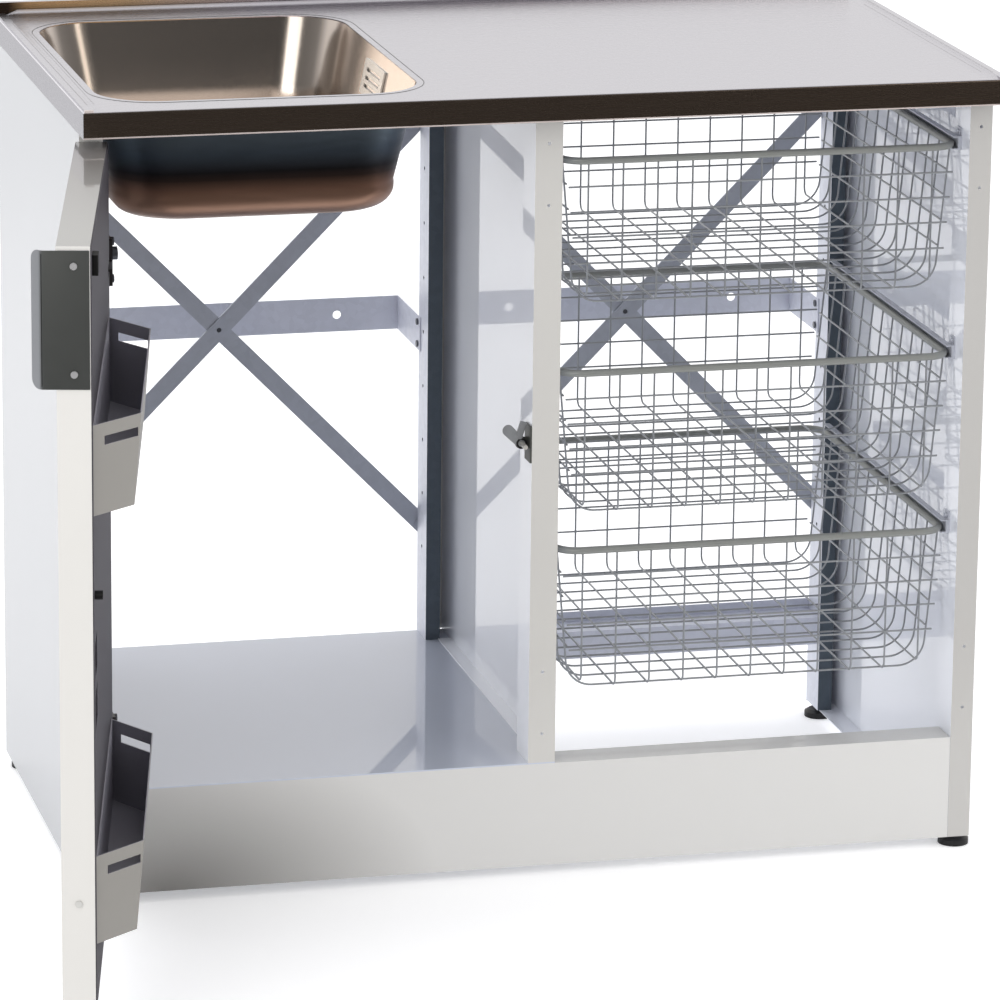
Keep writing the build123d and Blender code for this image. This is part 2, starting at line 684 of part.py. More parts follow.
def make_basket_rim(name, z):
    """Closed tube round the mouth of a basket."""
    tube = RIM_TUBE / 2
    low_x = basket_left + tube
    high_x = basket_right - tube
    low_y = basket_front + tube
    high_y = basket_front + BASKET_LENGTH - tube
    with BuildPart() as rim:
        for x in (low_x, high_x):
            rod((x, low_y + RIM_CORNER, z), (x, high_y - RIM_CORNER, z), RIM_TUBE)
        for y in (low_y, high_y):
            rod((low_x + RIM_CORNER, y, z), (high_x - RIM_CORNER, y, z), RIM_TUBE)
        corners = (
            (high_x - RIM_CORNER, high_y - RIM_CORNER),
            (low_x + RIM_CORNER, high_y - RIM_CORNER),
            (low_x + RIM_CORNER, low_y + RIM_CORNER),
            (high_x - RIM_CORNER, low_y + RIM_CORNER),
        )
        for quarter, (x, y) in enumerate(corners):
            with Locations(Location((x, y, z), 90 * quarter)):
                Torus(RIM_CORNER, tube, major_angle=90, align=None)
    keep(rim, name)


def make_basket_grilles(name, rim_z):
    """Welded wire floor, ends and sides of a basket, below its rim."""
    pitch = WIRE - WIRE_SINK
    wire_top = rim_z - RIM_TUBE / 2 - FIT
    floor_z = rim_z - BASKET_DROP
    floor_left = basket_left + BASKET_TAPER
    floor_right = basket_right - BASKET_TAPER
    end_front = basket_front + RIM_TUBE / 2
    end_back = basket_front + BASKET_LENGTH - RIM_TUBE / 2
    wire_xs = spread(floor_left, floor_right, FRONT_WIRES)
    inset = WIRE + FIT
    cross_ys = spread(end_front + inset, end_back - inset, CROSS_WIRES)
    levels = [rim_z - (index + 1) * SIDE_WIRE_PITCH for index in range(SIDE_WIRES)]

    with BuildPart() as floor:
        for y in cross_ys:
            rod((floor_left, y, floor_z), (floor_right, y, floor_z), WIRE)
        for x in wire_xs:
            start = (x, end_front + inset - WIRE / 2, floor_z + pitch)
            rod(start, (x, end_back - inset + WIRE / 2, floor_z + pitch), WIRE)
    keep(floor, f"{name}_floor")

    with BuildPart() as ends:
        for y, inward in ((end_front, 1), (end_back, -1)):
            for x in wire_xs:
                rod((x, y, floor_z - WIRE / 2), (x, y, wire_top), WIRE)
            for z in levels:
                bar_y = y - inward * pitch
                rod((floor_left, bar_y, z), (floor_right, bar_y, z), WIRE)
    keep(ends, f"{name}_ends")

    with BuildPart() as sides:
        for rim_x, floor_x, inward in (
            (basket_left + RIM_TUBE - WIRE / 2, floor_left, 1),
            (basket_right - RIM_TUBE + WIRE / 2, floor_right, -1),
        ):
            foot_x = floor_x - inward * inset
            lean = (foot_x - rim_x) / (wire_top - floor_z)
            for y in cross_ys:
                rod((foot_x, y, floor_z - WIRE / 2), (rim_x, y, wire_top), WIRE)
            for z in levels:
                bar_x = rim_x + lean * (wire_top - z) + inward * pitch
                rod((bar_x, cross_ys[0], z), (bar_x, cross_ys[-1], z), WIRE)
    keep(sides, f"{name}_sides")


def make_runners(name, rim_z):
    """Pair of channel runners that carry the two long sides of a rim."""
    ledge = rim_z - RIM_TUBE / 2 - FIT
    low = rim_z - RUNNER_BELOW
    high = rim_z + RUNNER_ABOVE
    y0 = post_face + RUNNER_SETBACK
    y1 = y0 + RUNNER_LENGTH
    wall_left = divider_right
    wall_right = panel_right - REAR_POST_INSET
    post_inner = panel_right - POST_WIDTH
    with BuildPart() as runners:
        for wall, inward in ((wall_left, 1), (wall_right, -1)):
            block(wall, wall + inward * RUNNER_SHEET, y0, y1, low, high)
            block(wall, wall + inward * RUNNER_FLANGE, y0, y1, ledge - RUNNER_SHEET, ledge)
            block(wall, wall + inward * RUNNER_LIP, y0, y1, high - RUNNER_SHEET, high)
        block(wall_right, post_inner, y0, y0 + RUNNER_TAB, low, high)
        head_y = y0 + RUNNER_TAB / 2
        screw_z = high + RUNNER_SCREW_HEAD / 2
        block(post_inner - RUNNER_SHEET, post_inner, y0, y0 + RUNNER_TAB, high, screw_z * 2 - high)
        screw_x = post_inner - RUNNER_SHEET
        rod((screw_x, head_y, screw_z), (screw_x - RUNNER_SCREW_HEIGHT, head_y, screw_z), WIRE * 2)
    keep(runners, f"runners_{name}")


def make_baskets():
    """Three identical wire baskets and their runners."""
    for level, rim_z in BASKET_RIM_HEIGHTS.items():
        make_basket_rim(f"basket_{level}_rim", rim_z)
        make_basket_grilles(f"basket_{level}", rim_z)
        make_runners(level, rim_z)


# ================================================================ door
def hinge_notches():
    """Cut the corner windows that the hinge arms swing through."""
    half = HINGE_ARM_THICK / 2 + HINGE_NOTCH_GAP
    for z in HINGE_HEIGHTS.values():
        block(
            door_hinge_end - HINGE_NOTCH_GAP,
            door_hinge_end + HINGE_NOTCH_LENGTH,
            -HINGE_ARM_WIDTH,
            door_inner + HINGE_NOTCH_GAP,
            z - half,
            z + half,
            Mode.SUBTRACT,
        )


def make_door_shells():
    """Outer pan of the door and the flat liner that closes it."""
    liner_face = door_inner - SHEET
    with BuildPart(door_frame) as pan:
        block(door_hinge_end, door_free_end, door_outer_face, liner_face, DOOR_BOTTOM, DOOR_TOP)
        block(
            door_hinge_end + SHEET,
            door_free_end - SHEET,
            door_outer_face + SHEET,
            liner_face,
            DOOR_BOTTOM + SHEET,
            DOOR_TOP - SHEET,
            Mode.SUBTRACT,
        )
        hinge_notches()
    keep(pan, "door_pan")
    with BuildPart(door_frame) as liner:
        block(
            door_hinge_end + DOOR_LINER_INSET,
            door_free_end - DOOR_LINER_INSET,
            liner_face,
            door_inner,
            DOOR_BOTTOM + DOOR_LINER_INSET,
            DOOR_TOP - DOOR_LINER_INSET,
        )
        hinge_notches()
        with Locations(Location((latch_pin_x - pivot_x, door_inner, LATCH_Z), (90, 0, 0))):
            Cylinder(CATCH_HOLE / 2, 4 * SHEET, mode=Mode.SUBTRACT)
        for z in CATCH_WINDOW_HEIGHTS:
            with Locations((door_free_end - CATCH_WINDOW_FROM_EDGE, door_inner, z)):
                Box(CATCH_WINDOW_WIDTH, 4 * SHEET, CATCH_WINDOW_HEIGHT, mode=Mode.SUBTRACT)
    keep(liner, "door_liner")


def make_handle():
    """Edge pull: flat plate on the free edge with a bent finger lip."""
    top = DOOR_TOP - HANDLE_BELOW_TOP
    base = top - HANDLE_HEIGHT
    face = door_free_end + HANDLE_SHEET
    bend = door_outer_face - HANDLE_REACH
    lip = math.radians(HANDLE_LIP_ANGLE)
    along = (-math.sin(lip), -math.cos(lip))
    across = (-math.cos(lip), math.sin(lip))
    tip = (face + HANDLE_LIP * along[0], bend + HANDLE_LIP * along[1])
    inner_tip = (tip[0] + HANDLE_SHEET * across[0], tip[1] + HANDLE_SHEET * across[1])
    inner_bend = bend + HANDLE_SHEET * math.tan(lip / 2)
    with BuildPart() as handle:
        with BuildSketch(door_frame.offset(base)):
            with BuildLine():
                Polyline(
                    (face, door_inner - HANDLE_BACK_MARGIN),
                    (face, bend),
                    tip,
                    inner_tip,
                    (door_free_end, inner_bend),
                    (door_free_end, door_inner - HANDLE_BACK_MARGIN),
                    close=True,
                )
            make_face()
        extrude(amount=HANDLE_HEIGHT)
        outward = Axis(door_frame.origin, door_frame.y_dir)
        short_edges = handle.edges().filter_by(lambda edge: edge.length < HANDLE_SHEET * 1.01)
        fillet(short_edges.sort_by(outward)[:2], HANDLE_CORNER)
    keep(handle, "door_handle")

    middle = (top + base) / 2
    screw_y = -HANDLE_BACK_MARGIN
    with BuildPart(door_frame) as screws:
        for z in (middle - HANDLE_SCREW_PITCH / 2, middle + HANDLE_SCREW_PITCH / 2):
            with Locations(Location((face + HANDLE_SCREW_HEIGHT / 2, screw_y, z), (0, 90, 0))):
                Cylinder(HANDLE_SCREW_HEAD / 2, HANDLE_SCREW_HEIGHT)
    keep(screws, "handle_screws")


def bin_outline(depth, splay, inset):
    """Add the trapezium of a bin seen from above, smaller all round by inset."""
    near = door_free_end - BIN_END_MARGIN
    far = near - BIN_LENGTH
    Polygon(
        (far, door_inner),
        (near, door_inner),
        (near - splay, door_inner + depth),
        (far + splay, door_inner + depth),
        align=None,
    )
    if inset:
        offset(amount=-inset, mode=Mode.REPLACE)


def make_bin(name, base):
    """Folded door bin, narrower at its floor, open at the top."""
    top = base + BIN_HEIGHT
    with BuildPart() as hollow:
        with BuildSketch(door_frame.offset(base + BIN_SHEET)):
            bin_outline(BIN_DEPTH_BOTTOM, BIN_SPLAY_BOTTOM, BIN_SHEET)
        with BuildSketch(door_frame.offset(top)):
            bin_outline(BIN_DEPTH_TOP, BIN_SPLAY_TOP, BIN_SHEET)
        loft(ruled=True)
    with BuildPart() as tray:
        with BuildSketch(door_frame.offset(base)):
            bin_outline(BIN_DEPTH_BOTTOM, BIN_SPLAY_BOTTOM, 0)
        with BuildSketch(door_frame.offset(top)):
            bin_outline(BIN_DEPTH_TOP, BIN_SPLAY_TOP, 0)
        loft(ruled=True)
        add(hollow.part, mode=Mode.SUBTRACT)
        slot_base = top - BIN_SLOT_DROP - BIN_SLOT_HEIGHT
        slot_length = BIN_SLOT_END - BIN_SLOT_START
        slot_y = door_inner + BIN_SLOT_START + slot_length / 2
        with BuildSketch(door_frame.offset(slot_base)):
            with Locations((DOOR_WIDTH / 2, slot_y)):
                Rectangle(DOOR_WIDTH, slot_length)
        extrude(amount=BIN_SLOT_HEIGHT, mode=Mode.SUBTRACT)
    keep(tray, name)


def make_door_fittings():
    """Rubber buffer, catch bush and edge plug of the door."""
    with BuildPart(door_frame) as buffer:
        buffer_x = door_free_end - BUFFER_FROM_EDGE
        buffer_top = DOOR_TOP - BUFFER_DROP
        block(
            buffer_x,
            buffer_x + BUFFER_WIDTH,
            door_inner,
            door_inner + BUFFER_THICK,
            buffer_top - BUFFER_HEIGHT,
            buffer_top,
        )
        fillet(buffer.edges().filter_by(Axis.Z), BUFFER_THICK / 4)
    keep(buffer, "door_buffer")
    with BuildPart(door_frame) as bush:
        bush_y = door_inner + CATCH_BUSH_LENGTH / 2
        with Locations(Location((latch_pin_x - pivot_x, bush_y, LATCH_Z), (90, 0, 0))):
            Cylinder(CATCH_BUSH / 2, CATCH_BUSH_LENGTH)
            Cylinder(CATCH_HOLE / 2, CATCH_BUSH_LENGTH, mode=Mode.SUBTRACT)
    keep(bush, "catch_bush")
    with BuildPart(door_frame) as plug:
        plug_x = door_free_end + EDGE_PLUG_THICK / 2
        with Locations(Location((plug_x, -HANDLE_BACK_MARGIN, EDGE_PLUG_Z), (0, 90, 0))):
            Cylinder(EDGE_PLUG / 2, EDGE_PLUG_THICK)
    keep(plug, "edge_plug")


def hinge_bracket(z):
    """Add a mount on the left post with the arm that reaches into the door."""
    mount_x = panel_left + POST_WIDTH
    mount_face = mount_x + HINGE_MOUNT_THICK
    mount_y = post_face + HINGE_MOUNT_SETBACK
    half = HINGE_MOUNT_HEIGHT / 2
    arm_low = z - HINGE_ARM_THICK / 2
    arm_high = z + HINGE_ARM_THICK / 2
    elbow_x = mount_x + FIT + HINGE_ARM_WIDTH / 2
    elbow_y = post_face - HINGE_ARM_WIDTH
    reach = math.hypot(elbow_x - pivot_x, elbow_y - pivot_y)
    turn = math.degrees(math.atan2(elbow_y - pivot_y, elbow_x - pivot_x))
    middle = ((elbow_x + pivot_x) / 2, (elbow_y + pivot_y) / 2)
    block(mount_x, mount_face, mount_y, mount_y + HINGE_MOUNT_DEPTH, z - half, z + half)
    with BuildSketch(Plane.XY.offset(arm_low)) as arm:
        with Locations(middle):
            SlotCenterToCenter(reach, HINGE_ARM_WIDTH, rotation=turn)
        with Locations((pivot_x, pivot_y)):
            Circle(HINGE_EYE / 2)
            Circle(HINGE_PIN / 2 + HINGE_PIN_FIT, mode=Mode.SUBTRACT)
    extrude(arm.sketch, amount=HINGE_ARM_THICK)
    arm_x = elbow_x + HINGE_ARM_WIDTH / 2
    block(mount_x + FIT, arm_x, elbow_y, mount_y + HINGE_ARM_WIDTH, arm_low, arm_high)


def make_hinges():
    """Brackets, bolts, pins and the blocks inside the door."""
    with BuildPart() as brackets:
        for z in HINGE_HEIGHTS.values():
            hinge_bracket(z)
    keep(brackets, "hinge_brackets")
    face = panel_left + POST_WIDTH + HINGE_MOUNT_THICK
    y = post_face + HINGE_MOUNT_SETBACK + HINGE_MOUNT_DEPTH / 2
    with BuildPart() as bolts:
        for z in HINGE_HEIGHTS.values():
            for rise, diameter, height in (
                (HINGE_BOLT_OFFSET, HINGE_BOLT_HEAD, HINGE_BOLT_HEIGHT),
                (-HINGE_BOLT_OFFSET, HINGE_BOLT_HEAD, HINGE_BOLT_HEIGHT),
                (HINGE_ADJUSTER_OFFSET, HINGE_ADJUSTER, HINGE_ADJUSTER_HEIGHT),
            ):
                rod((face, y, z + rise), (face + height, y, z + rise), diameter)
    keep(bolts, "hinge_bolts")

    half = HINGE_PIN_LENGTH / 2
    slot = HINGE_ARM_THICK / 2 + HINGE_SIDE_GAP
    skin = door_outer_face + SHEET
    with BuildPart(door_frame) as blocks:
        for z in HINGE_HEIGHTS.values():
            width = HINGE_BLOCK_WIDTH / 2
            block(-width, width, skin, HINGE_BLOCK_REACH, z - half, z + half)
            mouth = skin + HINGE_BLOCK_BACK
            block(-width, width, mouth, HINGE_BLOCK_REACH, z - slot, z + slot, Mode.SUBTRACT)
            with Locations((0, 0, z)):
                Cylinder(HINGE_PIN / 2 + HINGE_PIN_FIT / 2, HINGE_PIN_LENGTH, mode=Mode.SUBTRACT)
    keep(blocks, "hinge_blocks")
    with BuildPart(door_frame) as pins:
        for z in HINGE_HEIGHTS.values():
            with Locations((0, 0, z)):
                Cylinder(HINGE_PIN / 2, HINGE_PIN_LENGTH)
    keep(pins, "hinge_pins")


# ================================================================ latch
def make_latch():
    """Bracket on the middle post, pivot pin and the turning catch lever."""
    post_left = divider_right - MIDDLE_POST_WIDTH
    pin_front = post_face - DOOR_GAP - LATCH_PIN_NOSE
    ear = post_face + LATCH_EAR_SETBACK
    low = LATCH_Z - LATCH_PLATE_HEIGHT / 2
    high = LATCH_Z + LATCH_PLATE_HEIGHT / 2
    hole = LATCH_PIN / 2 + LATCH_PIN_FIT
    with BuildPart() as bracket:
        block(post_left - LATCH_PLATE, post_left, post_face, post_face + LATCH_PLATE_DEPTH, low, high)
        with BuildSketch(Plane(origin=(latch_pin_x, ear, LATCH_Z), x_dir=(1, 0, 0), z_dir=(0, -1, 0))):
            Circle(LATCH_HUB / 2)
            with Locations((LATCH_PIN_OFFSET / 2, 0)):
                Rectangle(LATCH_PIN_OFFSET, LATCH_HUB)
            Circle(hole, mode=Mode.SUBTRACT)
        extrude(amount=-LATCH_PLATE)
    keep(bracket, "latch_bracket")
    with BuildPart() as pin:
        pin_end = pin_front + LATCH_PIN_LENGTH
        rod((latch_pin_x, pin_front, LATCH_Z), (latch_pin_x, pin_end, LATCH_Z), LATCH_PIN)
        head_end = pin_end + LATCH_PIN_HEAD_THICK
        rod((latch_pin_x, pin_end, LATCH_Z), (latch_pin_x, head_end, LATCH_Z), LATCH_PIN_HEAD)
    keep(pin, "latch_pin")
    lever_plane = Plane(
        origin=(latch_pin_x, ear - LATCH_LEVER_GAP, LATCH_Z), x_dir=(1, 0, 0), z_dir=(0, -1, 0)
    )
    with BuildPart() as lever:
        with BuildSketch(lever_plane):
            Circle(LATCH_HUB / 2)
            with Locations(Location((0, 0), LATCH_PADDLE_ANGLE)):
                with Locations((LATCH_PADDLE_LENGTH / 2, 0)):
                    SlotCenterToCenter(LATCH_PADDLE_LENGTH, LATCH_PADDLE_WIDTH)
            with Locations(Location((0, 0), LATCH_TONGUE_ANGLE)):
                with Locations((LATCH_TONGUE_LENGTH / 2, LATCH_TONGUE_OFFSET)):
                    Rectangle(LATCH_TONGUE_LENGTH, LATCH_TONGUE_WIDTH)
            Circle(hole, mode=Mode.SUBTRACT)
        extrude(amount=LATCH_LEVER_THICK)
    keep(lever, "latch_lever")


make_worktop()
make_sink_bowl()
make_overflow_plate()
make_drain()
make_side_panel("side_panel_left", panel_left, 1)
make_side_panel("side_panel_right", panel_right, -1)
make_divider()
post_bottom = CARCASS_CLEARANCE + SHEET
post_top = carcass_top - SHEET
make_rear_post("rear_post_left", panel_left + REAR_POST_INSET, -1, post_bottom, post_top)
middle_face = divider_right - REAR_POST_INSET - SIDE_INSET
make_rear_post("rear_post_middle", middle_face, 1, shelf_top, post_top)
make_rear_post("rear_post_right", panel_right - REAR_POST_INSET, 1, post_bottom, post_top)
make_base()
make_battens()
make_wall_rail("wall_rail_left", panel_left + REAR_POST_INSET, middle_face)
make_wall_rail("wall_rail_right", divider_right, panel_right - REAR_POST_INSET)
make_braces()
make_feet()
make_baskets()
make_door_shells()
make_handle()
for bin_level, bin_bottom in BIN_BOTTOMS.items():
    make_bin(f"door_bin_{bin_level}", bin_bottom)
make_door_fittings()
make_hinges()
make_latch()
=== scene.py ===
import json
import math

import bmesh
import bpy
from mathutils import Matrix, Vector


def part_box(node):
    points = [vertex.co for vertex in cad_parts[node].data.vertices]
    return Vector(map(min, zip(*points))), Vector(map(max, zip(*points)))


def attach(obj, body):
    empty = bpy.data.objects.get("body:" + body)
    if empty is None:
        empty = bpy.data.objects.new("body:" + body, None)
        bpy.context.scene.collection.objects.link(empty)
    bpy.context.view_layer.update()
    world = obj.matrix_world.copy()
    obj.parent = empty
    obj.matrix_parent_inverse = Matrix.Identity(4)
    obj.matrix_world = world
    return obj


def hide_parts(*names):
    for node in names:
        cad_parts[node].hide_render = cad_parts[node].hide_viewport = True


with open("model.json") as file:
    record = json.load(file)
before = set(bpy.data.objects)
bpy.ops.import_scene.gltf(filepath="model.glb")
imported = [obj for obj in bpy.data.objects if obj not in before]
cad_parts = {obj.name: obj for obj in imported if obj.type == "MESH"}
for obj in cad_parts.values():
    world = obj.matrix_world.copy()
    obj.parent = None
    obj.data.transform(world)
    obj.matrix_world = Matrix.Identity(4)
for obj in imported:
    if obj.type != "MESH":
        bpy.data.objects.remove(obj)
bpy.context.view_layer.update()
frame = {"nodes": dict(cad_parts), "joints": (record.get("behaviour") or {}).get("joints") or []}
nodes = frame["nodes"]

# ---------------------------------------------------------------- places read from the frame
MM = 0.001
LEFT = Vector((-1, 0, 0))
RIGHT = Vector((1, 0, 0))
FRONT = Vector((0, -1, 0))
REAR = Vector((0, 1, 0))
UP = Vector((0, 0, 1))

TOP_LO, TOP_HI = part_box("worktop")
BOWL_LO, BOWL_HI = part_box("sink_bowl")
BOWL_MIDDLE = (BOWL_LO + BOWL_HI) / 2
BOWL_HALF = (BOWL_HI - BOWL_LO) / 2
BOWL_FLANGE = 10 * MM
BOWL_CORNER = 65 * MM
UPSTAND_HEIGHT = 14 * MM
UPSTAND_DEPTH = 14 * MM
WORK_PLANE = TOP_HI.z - UPSTAND_HEIGHT

DOOR_JOINT = next(j for j in frame["joints"] if j["name"] == "door_hinge")
LATCH_JOINT = next(j for j in frame["joints"] if j["name"] == "latch_turn")
PIVOT = Vector(DOOR_JOINT["pos_m"])
OPEN_ANGLE = math.radians(-DOOR_JOINT["range_deg"][0])
ALONG = Vector((math.cos(OPEN_ANGLE), -math.sin(OPEN_ANGLE), 0))
INWARD = Vector((math.sin(OPEN_ANGLE), math.cos(OPEN_ANGLE), 0))


def door_point(along, inward, z):
    """A point of the open door from its distances along and out of its inner side."""
    base = Vector((PIVOT.x, PIVOT.y, z))
    return base + ALONG * along + INWARD * inward


# ---------------------------------------------------------------- mesh helpers
def in_mm(points):
    """Flat points in metres from their sizes in millimetres."""
    return [(a * MM, b * MM) for a, b in points]


def spread(low, high, count):
    """Evenly spaced values."""
    return [low + (high - low) * i / (count - 1) for i in range(count)]


def circle(radius, count=32):
    """Flat points round a circle."""
    angles = [2 * math.pi * k / count for k in range(count)]
    return [(radius * math.cos(a), radius * math.sin(a)) for a in angles]


def bowl_ring(inset, corner, z, steps=10):
    """Level ring at an inset from the bowl's outer edge, with round corners."""
    reach_x = BOWL_HALF.x - inset - corner
    reach_y = BOWL_HALF.y - inset - corner
    points = []
    for k, (x_way, y_way) in enumerate(((1, 1), (-1, 1), (-1, -1), (1, -1))):
        centre = Vector((BOWL_MIDDLE.x + x_way * reach_x, BOWL_MIDDLE.y + y_way * reach_y, z))
        for i in range(steps + 1):
            angle = math.radians(90 * k + 90 * i / steps)
            points.append(centre + (RIGHT * math.cos(angle) + REAR * math.sin(angle)) * corner)
    return points


def rounded(points, radius, closed=False, steps=7):
    """Points of a path whose corners are turned into arcs of a given radius."""
    points = [Vector(p) for p in points]
    count = len(points)
    nearly_straight = math.radians(89)
    most_of_a_side = 0.49
    path = []
    for i, corner in enumerate(points):
        if not closed and i in (0, count - 1):
            path.append(corner)
            continue
        back = points[(i - 1) % count] - corner
        ahead = points[(i + 1) % count] - corner
        u, v = back.normalized(), ahead.normalized()
        half = u.angle(v) / 2
        if half > nearly_straight:
            path.append(corner)
            continue
        longest = min(back.length, ahead.length) * most_of_a_side
        reach = min(radius / math.tan(half), longest)
        true_radius = reach * math.tan(half)
        centre = corner + (u + v).normalized() * (true_radius / math.sin(half))
        start = corner + u * reach - centre
        end = corner + v * reach - centre
        for k in range(steps + 1):
            path.append(centre + start.slerp(end, k / steps).normalized() * true_radius)
    return path


def bridge(bm, first, second):
    """Join two closed rings of vertices with faces, and give these faces."""
    faces = []
    for i in range(len(first)):
        j = (i + 1) % len(first)
        faces.append(bm.faces.new((first[i], first[j], second[j], second[i])))
    return faces


def tube(bm, points, radius, closed=False, sides=8):
    """Add a round bar along a path to a bmesh."""
    count = len(points)
    section = circle(1, sides)
    rings = []
    normal = None
    for i, p in enumerate(points):
        before = points[(i - 1) % count] if closed or i else points[0]
        after = points[(i + 1) % count] if closed or i < count - 1 else points[-1]
        tangent = (after - before).normalized()
        if normal is None:
            guide = UP if abs(tangent.z) < 0.8 else REAR
            normal = tangent.cross(guide).normalized()
        normal = (normal - tangent * normal.dot(tangent)).normalized()
        side = tangent.cross(normal)
        rings.append([bm.verts.new(p + (normal * a + side * b) * radius) for a, b in section])
    for ring, following in zip(rings, rings[1:]):
        bridge(bm, ring, following)
    if closed:
        bridge(bm, rings[-1], rings[0])
    else:
        bm.faces.new(rings[0][::-1])
        bm.faces.new(rings[-1])


def prism(bm, outline, origin, u, v, w, depth):
    """Add a flat outline in the u, v plane, made thick along w."""
    low = [bm.verts.new(origin + u * a + v * b) for a, b in outline]
    high = [bm.verts.new(origin + u * a + v * b + w * depth) for a, b in outline]
    bm.faces.new(low[::-1])
    bm.faces.new(high)
    bridge(bm, low, high)


def new_object(name, bm, body, material, smooth_angle):
    """Make an object of a bmesh, shade it and let it ride on a body."""
    bmesh.ops.recalc_face_normals(bm, faces=bm.faces)
    mesh = bpy.data.meshes.new(name)
    bm.to_mesh(mesh)
    bm.free()
    obj = bpy.data.objects.new(name, mesh)
    bpy.context.scene.collection.objects.link(obj)
    mesh.materials.append(material)
    mesh.shade_smooth()
    mesh.set_sharp_from_angle(angle=math.radians(smooth_angle))
    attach(obj, body)
    return obj


def soften(obj, width, angle=30):
    """Round an object's sharp edges."""
    bevel = obj.modifiers.new("edge", "BEVEL")
    bevel.width = width
    bevel.segments = 2
    bevel.limit_method = "ANGLE"
    bevel.angle_limit = math.radians(angle)
    bevel.harden_normals = False


# ---------------------------------------------------------------- colours
def linear(hex_colour):
    """Linear colour of an sRGB hex string."""
    parts = [int(hex_colour[i:i + 2], 16) / 255 for i in (0, 2, 4)]
    return tuple(c / 12.92 if c <= 0.04045 else ((c + 0.055) / 1.055) ** 2.4 for c in parts) + (1.0,)


def grey(value):
    """Opaque grey of a linear value."""
    return (value, value, value, 1.0)


def shade(colour, amount):
    """A linear colour made darker by a factor."""
    return tuple(c * amount for c in colour[:3]) + (1.0,)


# ---------------------------------------------------------------- node helpers
def shader(name):
    """A new node material, its node tree and its principled shader."""
    material = bpy.data.materials.new(name)
    material.use_nodes = True
    tree = material.node_tree
    return material, tree, tree.nodes["Principled BSDF"]


def coordinate(tree, kind):
    """A texture coordinate, such as the object's own place or normal."""
    return tree.nodes.new("ShaderNodeTexCoord").outputs[kind]


def noise(tree, scale, stretch=(1, 1, 1), detail=3.0):
    """Noise in object space, finer along an axis with a larger stretch."""
    mapping = tree.nodes.new("ShaderNodeMapping")
    mapping.inputs["Scale"].default_value = stretch
    texture = tree.nodes.new("ShaderNodeTexNoise")
    texture.inputs["Scale"].default_value = scale
    texture.inputs["Detail"].default_value = detail
    tree.links.new(coordinate(tree, "Object"), mapping.inputs["Vector"])
    tree.links.new(mapping.outputs["Vector"], texture.inputs["Vector"])
    return texture.outputs["Fac"]


def ramp(tree, value, stops):
    """Colour ramp through (position, colour) stops."""
    node = tree.nodes.new("ShaderNodeValToRGB")
    elements = node.color_ramp.elements
    while len(elements) < len(stops):
        elements.new(0.5)
    for element, (position, colour) in zip(elements, stops):
        element.position = position
        element.color = colour
    tree.links.new(value, node.inputs["Fac"])
    return node.outputs["Color"]


def zone(tree, value, low, high, first=0.0, last=1.0, curve="LINEAR"):
    """A value that goes from first to last while another goes from low to high."""
    node = tree.nodes.new("ShaderNodeMapRange")
    node.interpolation_type = curve
    node.inputs["From Min"].default_value = low
    node.inputs["From Max"].default_value = high
    node.inputs["To Min"].default_value = first
    node.inputs["To Max"].default_value = last
    tree.links.new(value, node.inputs["Value"])
    return node.outputs["Result"]


def axis_zone(tree, kind, axis, low, high, first=0.0, last=1.0, curve="SMOOTHSTEP"):
    """A zone along one axis of a texture coordinate."""
    split = tree.nodes.new("ShaderNodeSeparateXYZ")
    tree.links.new(coordinate(tree, kind), split.inputs["Vector"])
    return zone(tree, split.outputs[axis], low, high, first, last, curve)


def direction_zone(tree, kind, direction, low, high):
    """A zone along any direction of a texture coordinate, from 0 to 1."""
    dot = tree.nodes.new("ShaderNodeVectorMath")
    dot.operation = "DOT_PRODUCT"
    dot.inputs[1].default_value = direction
    tree.links.new(coordinate(tree, kind), dot.inputs[0])
    return zone(tree, dot.outputs["Value"], low, high)


def combined(tree, first, second, operation):
    """One value worked out from two, such as the larger one."""
    node = tree.nodes.new("ShaderNodeMath")
    node.operation = operation
    tree.links.new(first, node.inputs[0])
    tree.links.new(second, node.inputs[1])
    return node.outputs["Value"]


def mixed(tree, factor, first, second):
    """Mix two colour sockets."""
    node = tree.nodes.new("ShaderNodeMix")
    node.data_type = "RGBA"
    tree.links.new(factor, node.inputs[0])
    tree.links.new(first, node.inputs[6])
    tree.links.new(second, node.inputs[7])
    return node.outputs[2]


def mixed_shaders(tree, factor, first, second):
    """Mix two shaders."""
    node = tree.nodes.new("ShaderNodeMixShader")
    tree.links.new(factor, node.inputs["Fac"])
    tree.links.new(first, node.inputs[1])
    tree.links.new(second, node.inputs[2])
    return node.outputs["Shader"]


def speckle(tree, texture, colour, depth, reach=0.25):
    """A colour that wavers a little with a texture, from a hex string."""
    bright = linear(colour)
    return ramp(tree, texture, ((0.5 - reach, shade(bright, 1 - depth)), (0.5 + reach, bright)))


def rough_grain(tree, bsdf, texture, low, high, reach=0.2):
    """Let a shader's roughness waver between two values with a texture."""
    value = ramp(tree, texture, ((0.5 - reach, grey(low)), (0.5 + reach, grey(high))))
    tree.links.new(value, bsdf.inputs["Roughness"])


# How far a surface's normal reaches along a direction where its other tone starts and is full.
SHARP_TURN = (0.55, 0.95)
WIDE_TURN = (0.3, 0.9)


def turned(tree, base, direction, turn, other):
    """A colour that gives way to another where the surface faces a direction."""
    return mixed(tree, direction_zone(tree, "Normal", direction, *turn), base, other)


# ---------------------------------------------------------------- materials
LINE_SCALE = 60.0
LINE_DETAIL = 4.0


